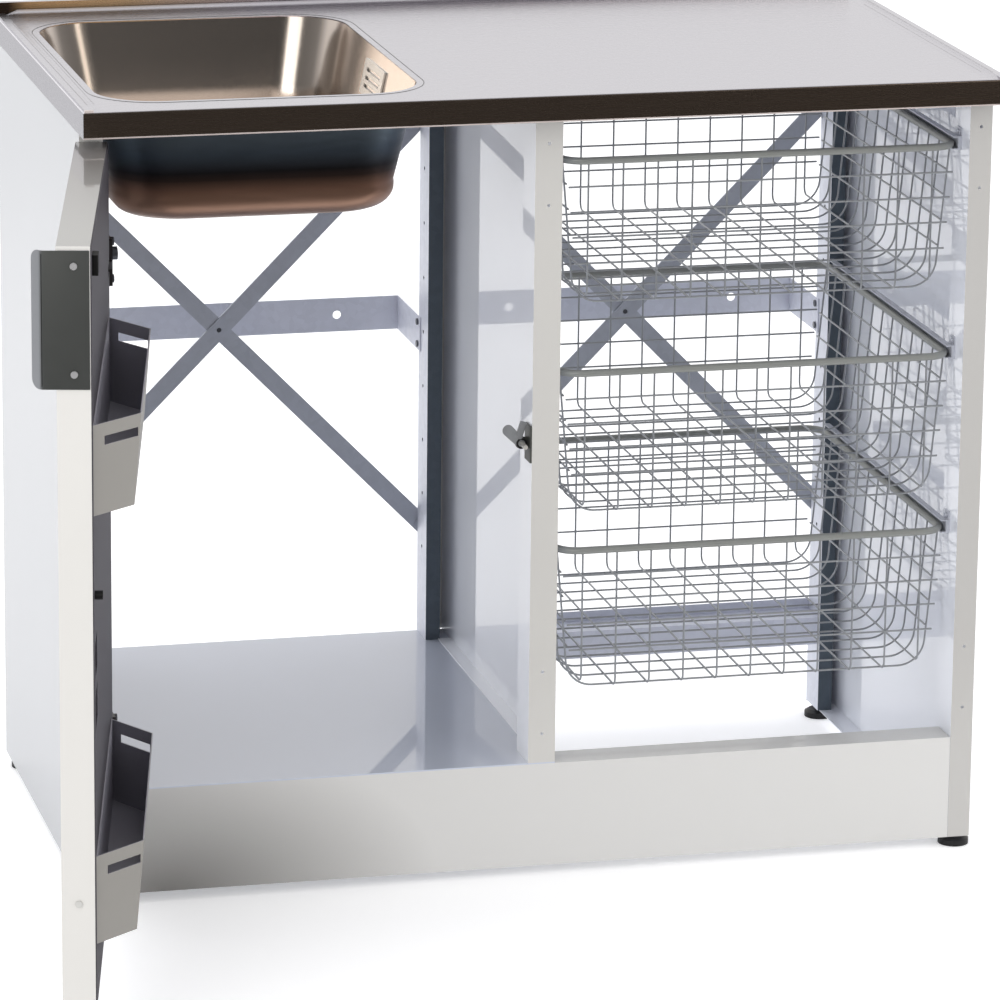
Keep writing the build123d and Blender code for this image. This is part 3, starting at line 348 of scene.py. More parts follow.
def metal(name, colour, roughness, metallic, front=None, depth=0.05, stretch=(1, 1, 1)):
    """Brushed or drawn metal whose fine lines change its tone and roughness."""
    material, tree, bsdf = shader(name)
    lines = noise(tree, LINE_SCALE, stretch, LINE_DETAIL)
    base = speckle(tree, lines, colour, depth)
    # Painted reflection: faces that turn to the front take the front tone.
    if front:
        base = turned(tree, base, FRONT, SHARP_TURN, speckle(tree, lines, front, depth))
    tree.links.new(base, bsdf.inputs["Base Color"])
    rough_grain(tree, bsdf, lines, roughness * 0.88, roughness * 1.12)
    bsdf.inputs["Metallic"].default_value = metallic
    return material


# Run of the painted shade on the door's top edge, darker towards the hinge.
LEDGE_RUN = 450 * MM
ENAMEL_CLOUD = 6.0
ENAMEL_DEPTH = 0.02


def enamel(name, colour, front=None, coat=0.6, roughness=0.35, outer=None, ledge=None):
    """Baked enamel on sheet steel: a soft base under a clear gloss, with painted light and shade in the
    tones given for faces that turn front, right or up.
    """
    material, tree, bsdf = shader(name)
    cloud = noise(tree, ENAMEL_CLOUD)
    base = speckle(tree, cloud, colour, ENAMEL_DEPTH)
    if front:
        base = turned(tree, base, FRONT, SHARP_TURN, speckle(tree, cloud, front, ENAMEL_DEPTH))
    if outer:
        base = turned(tree, base, RIGHT, WIDE_TURN, speckle(tree, cloud, outer, ENAMEL_DEPTH))
    if ledge:
        run = axis_zone(tree, "Object", "Y", PIVOT.y - LEDGE_RUN, PIVOT.y)
        tone = ramp(tree, run, ((0.0, linear(ledge[0])), (1.0, linear(ledge[1]))))
        base = turned(tree, base, UP, SHARP_TURN, tone)
    tree.links.new(base, bsdf.inputs["Base Color"])
    bsdf.inputs["Roughness"].default_value = roughness
    bsdf.inputs["Specular IOR Level"].default_value = 0.3
    bsdf.inputs["Coat Weight"].default_value = coat
    bsdf.inputs["Coat Roughness"].default_value = 0.035
    bsdf.inputs["Coat IOR"].default_value = 1.6
    return material


# Painted shade on the plinth near the door: its middle and its reach.
PLINTH_SHADE_PLACE = (75 * MM, -17 * MM, 10 * MM)
PLINTH_SHADE_REACH = (300 * MM, 1000 * MM, 160 * MM)


def plinth_enamel(name, colour, dark):
    """Satin enamel with painted shade round a place at its foot."""
    material, tree, bsdf = shader(name)
    shift = [-place / reach for place, reach in zip(PLINTH_SHADE_PLACE, PLINTH_SHADE_REACH)]
    mapping = tree.nodes.new("ShaderNodeMapping")
    mapping.inputs["Location"].default_value = shift
    mapping.inputs["Scale"].default_value = [1 / reach for reach in PLINTH_SHADE_REACH]
    tree.links.new(coordinate(tree, "Object"), mapping.inputs["Vector"])
    distance = tree.nodes.new("ShaderNodeVectorMath")
    distance.operation = "LENGTH"
    tree.links.new(mapping.outputs["Vector"], distance.inputs[0])
    pale = linear(colour)
    deep = linear(dark)
    middle = tuple((a + b) / 2 for a, b in zip(pale, deep))
    base = ramp(tree, distance.outputs["Value"], ((0.0, deep), (0.5, middle), (1.0, pale)))
    tree.links.new(base, bsdf.inputs["Base Color"])
    rough_grain(tree, bsdf, noise(tree, 200.0), 0.32, 0.4)
    bsdf.inputs["Coat Weight"].default_value = 0.5
    bsdf.inputs["Coat Roughness"].default_value = 0.04
    return material


CRYSTAL_SCALE = 140.0


def zinc(name, colour, roughness, metallic, front=None):
    """Galvanised sheet with its soft crystal pattern."""
    material, tree, bsdf = shader(name)
    cells = tree.nodes.new("ShaderNodeTexVoronoi")
    cells.inputs["Scale"].default_value = CRYSTAL_SCALE
    tree.links.new(coordinate(tree, "Object"), cells.inputs["Vector"])
    tone = tree.nodes.new("ShaderNodeSeparateColor")
    tree.links.new(cells.outputs["Color"], tone.inputs["Color"])
    base = speckle(tree, tone.outputs["Red"], colour, 0.07, 0.5)
    # Painted reflection: faces that turn to the front take the front tone.
    if front:
        base = turned(tree, base, FRONT, SHARP_TURN, speckle(tree, tone.outputs["Red"], front, 0.12, 0.5))
    tree.links.new(base, bsdf.inputs["Base Color"])
    rough_grain(tree, bsdf, tone.outputs["Green"], roughness * 0.85, roughness * 1.2, 0.5)
    bsdf.inputs["Metallic"].default_value = metallic
    return material


def plastic(name, colour, roughness=0.45):
    """Moulded plastic or rubber with a fine grain."""
    material, tree, bsdf = shader(name)
    base = speckle(tree, noise(tree, 40.0), colour, 0.15)
    tree.links.new(base, bsdf.inputs["Base Color"])
    bsdf.inputs["Roughness"].default_value = roughness
    grain = tree.nodes.new("ShaderNodeBump")
    grain.inputs["Strength"].default_value = 0.1
    grain.inputs["Distance"].default_value = 0.2 * MM
    tree.links.new(noise(tree, 900.0), grain.inputs["Height"])
    tree.links.new(grain.outputs["Normal"], bsdf.inputs["Normal"])
    return material


# Painted light and shade on the bins: where their outer end and front take the other tone.
BIN_END = (0.6, -0.8, 0.0)
BIN_END_TURN = (0.85, 0.97)
BIN_FRONT_TURN = (0.6, 0.95)
BIN_FRONT_REACH = (50 * MM, 55 * MM)


def bin_metal(name, inside, outside):
    """Sheet of the door bins in two painted tones by which way it faces, one inside and another on its
    outer end and front, standing in for light and shade.
    """
    material, tree, bsdf = shader(name)
    cloud = noise(tree, 12.0)
    dark = speckle(tree, cloud, inside, 0.08)
    light = speckle(tree, cloud, outside, 0.05)
    end = direction_zone(tree, "Normal", BIN_END, *BIN_END_TURN)
    facing_out = direction_zone(tree, "Normal", INWARD, *BIN_FRONT_TURN)
    far_out = direction_zone(tree, "Object", INWARD, *BIN_FRONT_REACH)
    front = combined(tree, facing_out, far_out, "MULTIPLY")
    base = mixed(tree, combined(tree, end, front, "MAXIMUM"), dark, light)
    tree.links.new(base, bsdf.inputs["Base Color"])
    bsdf.inputs["Roughness"].default_value = 0.45
    bsdf.inputs["Metallic"].default_value = 0.1
    return material


UPSTAND_RUN = 500 * MM
# Painted reflection: warm and golden tones along the upstand's front, from its left end.
UPSTAND_TONES = ((0.03, "5A4A40"), (0.07, "F1C895"), (0.3, "E6C8A2"), (0.6, "EDE2EC"))
APRON_EDGE = 0.6 * MM
REAR_PART = (200 * MM, 400 * MM)


def top_metal(name, up, apron, side):
    """Brushed sheet of the top with painted reflections: each way it turns has its own painted tone, dark
    on the apron, darker on the left side, warm at the upstand's left.
    """
    material, tree, bsdf = shader(name)
    lines = noise(tree, LINE_SCALE, (0.4, 12, 12), LINE_DETAIL)
    level = speckle(tree, lines, up, 0.02)
    run = axis_zone(tree, "Object", "X", TOP_LO.x, TOP_LO.x + UPSTAND_RUN, curve="LINEAR")
    upstand = ramp(tree, run, [(position, linear(colour)) for position, colour in UPSTAND_TONES])
    above_apron = axis_zone(tree, "Object", "Z", WORK_PLANE - APRON_EDGE, WORK_PLANE)
    front = mixed(tree, above_apron, speckle(tree, lines, apron, 0.04), level)
    front = mixed(tree, axis_zone(tree, "Object", "Y", *REAR_PART), front, upstand)
    base = turned(tree, level, FRONT, SHARP_TURN, front)
    base = turned(tree, base, LEFT, WIDE_TURN, speckle(tree, lines, side, 0.03))
    tree.links.new(base, bsdf.inputs["Base Color"])
    rough_grain(tree, bsdf, lines, 0.26, 0.285)
    bsdf.inputs["Metallic"].default_value = 1.0
    return material


BOWL_FLOOR_TURN = (0.21, 0.42)


def bowl_inner_metal(name, wall, floor):
    """Inside of the drawn bowl: bright walls drawn downwards, and a dark painted reflection on the floor.
    """
    material, tree, bsdf = shader(name)
    lines = noise(tree, LINE_SCALE, (14, 14, 0.6), LINE_DETAIL)
    bright = speckle(tree, lines, wall, 0.03)
    # Painted reflection: faces that turn up take the dark floor tone.
    base = turned(tree, bright, UP, BOWL_FLOOR_TURN, speckle(tree, lines, floor, 0.03))
    tree.links.new(base, bsdf.inputs["Base Color"])
    rough_grain(tree, bsdf, lines, 0.155, 0.19)
    bsdf.inputs["Metallic"].default_value = 1.0
    return material


# Painted reflections on the bowl's outside, by height from its foot to its mouth.
PAINTED_REFLECTION_TONES = (
    (0.0, "8A7468"), (0.1, "B4907C"), (0.24, "8C6B5A"), (0.34, "3E312D"), (0.4, "262427"),
    (0.55, "4A545F"), (0.75, "6C7882"), (1.0, "9A8F8C"),
)


def bowl_outer_metal(name):
    """Outside of the drawn bowl: dark steel with painted reflections in bands by height, copper-brown low
    down.
    """
    material, tree, bsdf = shader(name)
    height = axis_zone(tree, "Object", "Z", BOWL_LO.z, BOWL_HI.z, curve="LINEAR")
    base = ramp(tree, height, [(position, linear(colour)) for position, colour in PAINTED_REFLECTION_TONES])
    tree.links.new(base, bsdf.inputs["Base Color"])
    bsdf.inputs["Metallic"].default_value = 0.85
    rough_grain(tree, bsdf, noise(tree, 30.0, (1, 1, 6), LINE_DETAIL), 0.3, 0.42)
    return material


# Apron, left side and upstand tones of the top are painted reflections.
STEEL_TOP = top_metal("steel_top", "C6C5CC", "8E8177", "A2A0A6")
# Dark tone of the pressed lines: painted shade in the creases.
STEEL_LINE = metal("steel_line", "4A484A", 0.4, 0.6)
# Bright tone of the lip and bead noses: painted highlight.
STEEL_LIP = metal("steel_lip", "DCD0CC", 0.35, 0.4)
STEEL_BOWL = bowl_inner_metal("steel_bowl", "E2D7CE", "4E4743")
STEEL_BOWL_OUTSIDE = bowl_outer_metal("steel_bowl_outside")
STEEL_TRIM = metal("steel_trim", "E4E3E0", 0.3, 0.8, stretch=(4, 4, 4))
# Lit and shaded copies of one white enamel, painted: the left panel and door darker, the divider and right
# panel brighter; their front, outer and door-top tones are painted light and shade.
ENAMEL_LEFT = enamel("enamel_left", "B2B4B8", "C8C6C2")
ENAMEL_DOOR = enamel("enamel_door", "B6B7BA", "D2D0CC", ledge=("989794", "7A7674"))
ENAMEL_DIVIDER = enamel("enamel_divider", "F4F7FF", "C6C4C0", 1.0)
ENAMEL_RIGHT = enamel("enamel_right", "F4F7FF", "B8B6B3", 1.0, outer="B0B2B6")
ENAMEL_SHELF = enamel("enamel_shelf", "BEC4D3", coat=0.9)
PLINTH = plinth_enamel("enamel_plinth", "CECDCB", "706E6B")
LINER_GREY = enamel("liner_grey", "4C494F", coat=0.0, roughness=0.6)
BIN_SHEET = bin_metal("bin_sheet", "A09EA8", "94918C")
ZINC = zinc("zinc", "C6C9D2", 0.42, 0.3)
# The posts' dark front tone is a painted reflection of the dark front.
ZINC_POST = zinc("zinc_post", "DCDFEA", 0.35, 0.2, "4C5660")
ZINC_RAIL = zinc("zinc_rail", "D6D9E6", 0.42, 0.2)
ZINC_BRACE = zinc("zinc_brace", "B6BAC5", 0.42, 0.2)
SCREW = metal("screw_metal", "E2E2E4", 0.28, 0.7)
SCREW_DARK = metal("screw_dark", "6A6C72", 0.35, 0.8)
# The handle's dark front tone is a painted reflection of the dark front; its lip, turned away, keeps the
# lighter tone.
HANDLE = metal("handle_metal", "808286", 0.5, 0.25, front="444644")
# Dark tone of the handle's bend line: painted shade.
HANDLE_LINE = metal("handle_line", "2A2C2B", 0.5, 0.2)
WIRE = metal("wire_metal", "9EA1A5", 0.35, 0.5)
RIM = metal("rim_metal", "8E908D", 0.42, 0.3)
LATCH_STEEL = metal("latch_steel", "96989B", 0.4, 0.4, depth=0.2)
PIN_STEEL = metal("pin_steel", "BDBBB4", 0.35, 0.3)
LATCH_PLATE = metal("latch_plate_metal", "565854", 0.5, 0.3, depth=0.3)
HINGE_DARK = plastic("hinge_dark", "231F20", 0.4)
BLACK = plastic("black_plastic", "141416")
RUBBER = plastic("rubber", "101011", 0.7)
PLUG = plastic("plug_grey", "C6C5C1", 0.5)


# ---------------------------------------------------------------- carried-over CAD nodes
# The material of each node, and the width of its rounded edges in millimetres.
CAD_LOOKS = {
    "worktop": (STEEL_TOP, 0.4),
    "side_panel_left": (ENAMEL_LEFT, 0.5),
    "side_panel_right": (ENAMEL_RIGHT, 0.5),
    "divider_panel": (ENAMEL_DIVIDER, 0.5),
    "plinth": (PLINTH, 0.5),
    "bottom_shelf": (ENAMEL_SHELF, 0.3),
    "rear_bottom_rail": (ZINC_RAIL, 0.4),
    "door_pan": (ENAMEL_DOOR, 0.5),
    "door_liner": (LINER_GREY, 0.2),
    "overflow_plate": (STEEL_TRIM, 0.3),
    "drain_cup": (STEEL_TRIM, 0.2),
    "drain_gasket": (RUBBER, 0.3),
    "drain_nut": (BLACK, 0.4),
    "strainer_basket": (STEEL_TRIM, 0.2),
    "top_battens": (ZINC, 0.3),
    "wall_rail_left": (ZINC_RAIL, 0.3),
    "wall_rail_right": (ZINC_RAIL, 0.3),
    "brace_left_rising": (ZINC_BRACE, 0.3),
    "brace_left_falling": (ZINC_BRACE, 0.3),
    "brace_right_rising": (ZINC_BRACE, 0.3),
    "brace_right_falling": (ZINC_BRACE, 0.3),
    "brace_screws": (SCREW_DARK, 0.4),
    "rear_post_left": (ZINC_POST, 0.3),
    "rear_post_middle": (ZINC_POST, 0.3),
    "rear_post_right": (ZINC_POST, 0.3),
    "foot_nuts": (SCREW, 0.4),
    "hinge_brackets": (HINGE_DARK, 0.5),
    "hinge_bolts": (SCREW_DARK, 0.5),
    "hinge_blocks": (BLACK, 0.5),
    "hinge_pins": (SCREW, 0.4),
    "handle_screws": (SCREW, 0.5),
    "door_bin_upper": (BIN_SHEET, 0.2),
    "door_bin_lower": (BIN_SHEET, 0.2),
    "door_buffer": (RUBBER, 0.4),
    "catch_bush": (BLACK, 0.4),
    "edge_plug": (PLUG, 0.3),
    "latch_bracket": (LATCH_PLATE, 0.3),
    "latch_pin": (PIN_STEEL, 0.4),
    "runners_top": (ZINC, 0.2),
    "runners_middle": (ZINC, 0.2),
    "runners_bottom": (ZINC, 0.2),
    "foot_front_left": (BLACK, 0.4),
    "foot_front_right": (BLACK, 0.4),
    "foot_rear_left": (BLACK, 0.4),
    "foot_rear_right": (BLACK, 0.4),
}


def dress_cad():
    """Give every carried-over CAD node its material and small rounded edges."""
    for name, (material, width) in CAD_LOOKS.items():
        obj = nodes[name]
        obj.data.materials.clear()
        obj.data.materials.append(material)
        soften(obj, width * MM)


# ---------------------------------------------------------------- pressed lines of the top
BEAD_WIDTH = 11 * MM
SUNK = 0.3 * MM
COVE_FADE = 14 * MM
COVE_START = TOP_LO.y + 1 * MM
UPSTAND_FACE = TOP_HI.y - UPSTAND_DEPTH
# Distance from the bead or the upstand, and height over the sheet, in millimetres.
BEAD_COVE = ((0, 1.9), (3, 1.05), (7, 0.4), (14, 0.03))
UPSTAND_COVE = ((0, 6), (2.5, 2.6), (7, 0.8), (15, 0.03))
# Inset from the top's side, start behind its front, end before its upstand and height, in millimetres.
SIDE_LINES = ((9.5, 30, 60, 1.9), (13.5, 25, 70, 1.0), (18.5, 40, 110, 0.25))
SIDE_LINE_RADIUS = 0.5 * MM
MOUTH_LINE_RADIUS = 0.6 * MM
MOUTH_LINE_DROP = 0.25 * MM
MOUTH_LINE_INSET = 2 * MM
# Depth behind the apron's face and height, in millimetres.
LIP_SECTION = ((0.5, 0), (-0.35, 0), (-0.35, 1.5), (0.5, 1.5))
BEAD_NOSE = ((0.2, -0.3), (1.2, 2.05), (4, 2.05), (4, -0.3))
NOSE_INSET = 1.5 * MM


def cove(bm, heights, origin, inward, along, length):
    """Run a cove's section along an edge, fading into the sheet at both ends."""
    section = in_mm(heights)
    section = [(0, -SUNK)] + section + [(section[-1][0], -SUNK)]
    rings = []
    for distance, share in ((0, 0.0), (COVE_FADE, 1.0), (length - COVE_FADE, 1.0), (length, 0.0)):
        start = origin + along * distance
        rings.append([bm.verts.new(start + inward * a + UP * ((b + SUNK) * share - SUNK))
                      for a, b in section])
    for ring, following in zip(rings, rings[1:]):
        bridge(bm, ring, following)


def make_coves():
    """Soft coves beside the two beads and along the upstand."""
    left, right = TOP_LO.x + BEAD_WIDTH, TOP_HI.x - BEAD_WIDTH
    bm = bmesh.new()
    for x, inward in ((left, RIGHT), (right, LEFT)):
        edge = Vector((x, COVE_START, WORK_PLANE))
        cove(bm, BEAD_COVE, edge, inward, REAR, UPSTAND_FACE - COVE_START)
    cove(bm, UPSTAND_COVE, Vector((left, UPSTAND_FACE, WORK_PLANE)), FRONT, RIGHT, right - left)
    lines = new_object("top_coves", bm, "carcass", STEEL_TOP, 40)


def make_drawn_lines():
    """Fine raised lines of the pressing beside the beads and round the bowl's mouth, in a dark tone that
    is painted shade in the creases.
    """
    bm = bmesh.new()
    for inset, near, far, height in SIDE_LINES:
        for x in (TOP_LO.x + inset * MM, TOP_HI.x - inset * MM):
            z = WORK_PLANE + height * MM - SUNK
            ends = [Vector((x, COVE_START + near * MM, z)), Vector((x, UPSTAND_FACE - far * MM, z))]
            tube(bm, ends, SIDE_LINE_RADIUS)
    corner = BOWL_CORNER + BOWL_FLANGE - MOUTH_LINE_INSET
    mouth = bowl_ring(MOUTH_LINE_INSET, corner, WORK_PLANE - MOUTH_LINE_DROP)
    tube(bm, mouth, MOUTH_LINE_RADIUS, closed=True)
    drawn = new_object("top_lines", bm, "carcass", STEEL_LINE, 40)


def make_lip():
    """Folded lip under the apron and the noses that end the beads, in a bright tone that is a painted
    highlight.
    """
    bm = bmesh.new()
    prism(bm, in_mm(LIP_SECTION), TOP_LO, REAR, UP, RIGHT, TOP_HI.x - TOP_LO.x)
    for x, inward in ((TOP_LO.x + NOSE_INSET, RIGHT), (TOP_HI.x - NOSE_INSET, LEFT)):
        corner = Vector((x, TOP_LO.y, WORK_PLANE))
        prism(bm, in_mm(BEAD_NOSE), corner, REAR, UP, inward, BEAD_WIDTH - NOSE_INSET)
    lip = new_object("apron_lip", bm, "carcass", STEEL_LIP, 40)


# ---------------------------------------------------------------- wire baskets
LONG_WIRES = 11
CROSS_WIRES = 13
WIRE_RADIUS = 1.1 * MM
WIRE_STEP = 1.9 * WIRE_RADIUS
RIM_CORNER = 25 * MM
END_BEND = 9 * MM
END_TUCK = 0.4 * MM
CROSS_SETBACK = 17 * MM
SIDE_INSET = 2.2 * MM
SIDE_LEAN = 14 * MM
SIDE_CORNER = 30 * MM
SIDE_WIRE_DROPS = (27.5 * MM, 55 * MM, 82.5 * MM, 111 * MM)
FIRST_WIRE_INSET = 0.35 * SIDE_CORNER
RIM_OVERLAP = 0.75


def make_rim(body):
    """Smooth tube of a basket's rim."""
    lo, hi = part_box(f"{body}_rim")
    radius = (hi.z - lo.z) / 2
    x0, x1, y0, y1 = lo.x + radius, hi.x - radius, lo.y + radius, hi.y - radius
    z = (hi.z + lo.z) / 2
    bm = bmesh.new()
    ring = [(x0, y0, z), (x1, y0, z), (x1, y1, z), (x0, y1, z)]
    path = rounded(ring, RIM_CORNER, closed=True, steps=12)
    tube(bm, path, radius, closed=True, sides=16)
    rim = new_object(f"{body}_rim_tube", bm, body, RIM, 60)
    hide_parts(f"{body}_rim")


def corner_inset(reach):
    """How far the round side corner still stands in, or up, at a reach from its start."""
    past = max(SIDE_CORNER - reach, 0)
    return SIDE_CORNER - math.sqrt(SIDE_CORNER ** 2 - past ** 2)


def make_wires(body):
    """Bent wires of a basket: long ones, cross ones, and level ones round its four sides."""
    lo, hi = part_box(f"{body}_rim")
    floor_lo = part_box(f"{body}_floor")[0]
    radius = (hi.z - lo.z) / 2
    z_rim = (hi.z + lo.z) / 2
    z_floor = floor_lo.z + WIRE_RADIUS
    front, rear = lo.y + radius, hi.y - radius
    side_left, side_right = lo.x + radius + SIDE_INSET, hi.x - radius - SIDE_INSET
    side_top = z_rim - radius * RIM_OVERLAP
    left, right = side_left + SIDE_LEAN, side_right - SIDE_LEAN
    bm = bmesh.new()

    end_top = z_rim - radius + END_TUCK
    for x in spread(left + FIRST_WIRE_INSET, right - FIRST_WIRE_INSET, LONG_WIRES):
        z = z_floor + WIRE_STEP + corner_inset(min(x - left, right - x))
        path = [(x, front, end_top), (x, front, z), (x, rear, z), (x, rear, end_top)]
        tube(bm, rounded(path, END_BEND), WIRE_RADIUS)

    cross_places = spread(front + CROSS_SETBACK, rear - CROSS_SETBACK, CROSS_WIRES)
    for y in cross_places:
        path = [(side_left, y, side_top), (left, y, z_floor),
                (right, y, z_floor), (side_right, y, side_top)]
        tube(bm, rounded(path, SIDE_CORNER, steps=10), WIRE_RADIUS)

    first_y, last_y = cross_places[0] - WIRE_RADIUS, cross_places[-1] + WIRE_RADIUS
    for drop in SIDE_WIRE_DROPS:
        z = z_rim - drop
        inset = SIDE_LEAN * (side_top - z) / (side_top - z_floor) + corner_inset(z - z_floor)
        x0, x1 = side_left + inset, side_right - inset
        for y in (front - WIRE_STEP, rear + WIRE_STEP):
            tube(bm, [Vector((x0, y, z)), Vector((x1, y, z))], WIRE_RADIUS)
        for x in (x0 + WIRE_STEP, x1 - WIRE_STEP):
            tube(bm, [Vector((x, first_y, z)), Vector((x, last_y, z))], WIRE_RADIUS)
    grille = new_object(f"{body}_wires", bm, body, WIRE, 60)
    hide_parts(f"{body}_ends", f"{body}_sides", f"{body}_floor")


# ---------------------------------------------------------------- sink bowl
BOWL_SHEET = 1 * MM
BOWL_LEAST_CORNER = 12 * MM
BOWL_CORNER_LOSS = 0.3
BOWL_TAPER = math.radians(12)
BOWL_FLOOR_BEND = 24 * MM
BOWL_HOLE_RADIUS = 45 * MM
WALL_SHARES = (0, 0.02, 0.35, 0.7, 1)
HOLE_SHARES = (0.35, 0.75, 1.0)
BEND_STEPS = 10


def bowl_profile(depth, bend_radius):
    """Inset and drop of the bowl's wall and of its bend into the floor."""
    lean = math.tan(BOWL_TAPER)
    straight = depth - bend_radius * (1 + math.sin(BOWL_TAPER))
    profile = [(straight * share * lean, straight * share) for share in WALL_SHARES]
    bend_inset = straight * lean + bend_radius * math.cos(BOWL_TAPER)
    bend_drop = depth - bend_radius
    for i in range(1, BEND_STEPS + 1):
        a = BOWL_TAPER - (math.pi / 2 + BOWL_TAPER) * i / BEND_STEPS
        profile.append((bend_inset - bend_radius * math.cos(a), bend_drop - bend_radius * math.sin(a)))
    return profile


def bowl_skin(bm, outset, z_top, z_floor):
    """Add one skin of the bowl, from its mouth to the drain hole: two end rings and the faces."""
    rings = []
    for inset, drop in bowl_profile(z_top - z_floor, BOWL_FLOOR_BEND + outset):
        corner = max(BOWL_CORNER + outset - BOWL_CORNER_LOSS * inset, BOWL_LEAST_CORNER)
        rings.append(bowl_ring(BOWL_FLANGE - outset + inset, corner, z_top - drop))
    centre = Vector((BOWL_MIDDLE.x, BOWL_MIDDLE.y, z_floor))
    outer = [Vector((p.x, p.y, z_floor)) - centre for p in rings[-1]]
    for share in HOLE_SHARES:
        rings.append([centre + away.lerp(away.normalized() * BOWL_HOLE_RADIUS, share) for away in outer])
    loops = [[bm.verts.new(p) for p in ring] for ring in rings]
    faces = []
    for loop, following in zip(loops, loops[1:]):
        faces += bridge(bm, loop, following)
    return loops[0], loops[-1], faces


def make_bowl():
    """Smooth drawn bowl: inner skin, outer skin and the flange between them."""
    bm = bmesh.new()
    inner_top, inner_hole, _ = bowl_skin(bm, 0, BOWL_HI.z, BOWL_LO.z + BOWL_SHEET)
    outer_top, outer_hole, outer_faces = bowl_skin(bm, BOWL_SHEET, BOWL_HI.z - BOWL_SHEET, BOWL_LO.z)
    rim_top, rim_low = [
        [bm.verts.new(p) for p in bowl_ring(0, BOWL_CORNER + BOWL_FLANGE, z)]
        for z in (BOWL_HI.z, BOWL_HI.z - BOWL_SHEET)
    ]
    bridge(bm, inner_top, rim_top)
    bridge(bm, rim_top, rim_low)
    outer_faces += bridge(bm, rim_low, outer_top)
    bridge(bm, inner_hole, outer_hole)
    for face in outer_faces:
        face.material_index = 1
    bowl = new_object("bowl_drawn", bm, "carcass", STEEL_BOWL, 50)
    bowl.data.materials.append(STEEL_BOWL_OUTSIDE)
    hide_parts("sink_bowl")


# ---------------------------------------------------------------- door handle
DOOR_FREE_EDGE = 487 * MM
HANDLE_SHEET = 1.5 * MM
HANDLE_CORNER = 10 * MM
# Distance beyond the door's free edge and out of its inner side, in millimetres.
HANDLE_PATH = ((0.75, 13), (0.75, -31), (0.4, -32.8), (-0.5, -34.4), (-10.0, -42.4))
CREASE_PLACE = (1.35 * MM, -33 * MM)
CREASE_SETBACK = 3 * MM
CREASE_RADIUS = 0.45 * MM


def handle_rows():
    """Places along the bent plate, each with how far its round corners cut it back."""
    path = in_mm(HANDLE_PATH)
    lengths = [0.0]
    for (a0, b0), (a1, b1) in zip(path, path[1:]):
        lengths.append(lengths[-1] + math.hypot(a1 - a0, b1 - b0))
    total = lengths[-1]
    corner_start = total - HANDLE_CORNER
    corner_places = {total - HANDLE_CORNER * (1 - math.cos(math.radians(t))) for t in range(0, 91, 10)}
    rows = []
    for s in sorted(corner_places.union(lengths)):
        k = max(i for i in range(len(path) - 1) if lengths[i] <= s + 1e-9)
        share = (s - lengths[k]) / (lengths[k + 1] - lengths[k])
        a = path[k][0] + (path[k + 1][0] - path[k][0]) * share
        b = path[k][1] + (path[k + 1][1] - path[k][1]) * share
        past = max(s - corner_start, 0)
        cut = HANDLE_CORNER - math.sqrt(max(HANDLE_CORNER ** 2 - past ** 2, 0))
        rows.append((a, b, cut))
    return rows


def make_handle():
    """Bent pull plate with round corners on the door's free edge, and a dark line at its bend that is
    painted shade.
    """
    lo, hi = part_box("door_handle")
    bm = bmesh.new()
    rows = []
    for a, b, cut in handle_rows():
        rows.append([bm.verts.new(door_point(DOOR_FREE_EDGE + a, b, z)) for z in (lo.z + cut, hi.z - cut)])
    for first, second in zip(rows, rows[1:]):
        bm.faces.new((first[0], first[1], second[1], second[0]))
    plate = new_object("handle_plate", bm, "door", HANDLE, 60)
    solid = plate.modifiers.new("sheet", "SOLIDIFY")
    solid.thickness = HANDLE_SHEET
    solid.offset = 0.0
    soften(plate, 0.4 * MM, 50)

    bm = bmesh.new()
    a, b = CREASE_PLACE
    ends = [door_point(DOOR_FREE_EDGE + a, b, z) for z in (lo.z + CREASE_SETBACK, hi.z - CREASE_SETBACK)]
    tube(bm, ends, CREASE_RADIUS)
    crease = new_object("handle_crease", bm, "door", HANDLE_LINE, 60)
    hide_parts("door_handle")


# ---------------------------------------------------------------- latch
HUB_RADIUS = 6.2 * MM
HUB_RING_RADIUS = 4.9 * MM
HUB_RING_BAR = 1.3 * MM
# Outlines out from the pin, in millimetres, and the angles in degrees that they are turned by.
PADDLE_ROOT = ((2.0, 5.6), (2.0, -5.6))
PADDLE_REACH = 20.8
PADDLE_RADIUS = 6.3
PADDLE_STEPS = 16
PADDLE_ANGLE = 135
TONGUE = ((1.5, 1.3), (23.6, 1.3), (23.6, 8.7), (9.0, 8.7), (6.5, 7.0))
TONGUE_ANGLE = 73
# Shares of the lever's thickness, so that no two faces lie in one plane.
HUB_SHARE = 0.7
PADDLE_SHARE = 0.75
TONGUE_SHARE = 0.95


def paddle_outline():
    """Outline of the lever's paddle in millimetres, straight to its round tip."""
    outline = []
    for angle in spread(-math.pi / 2, math.pi / 2, PADDLE_STEPS + 1):
        outline.append((PADDLE_REACH + PADDLE_RADIUS * math.cos(angle), PADDLE_RADIUS * math.sin(angle)))
    return outline + list(PADDLE_ROOT)


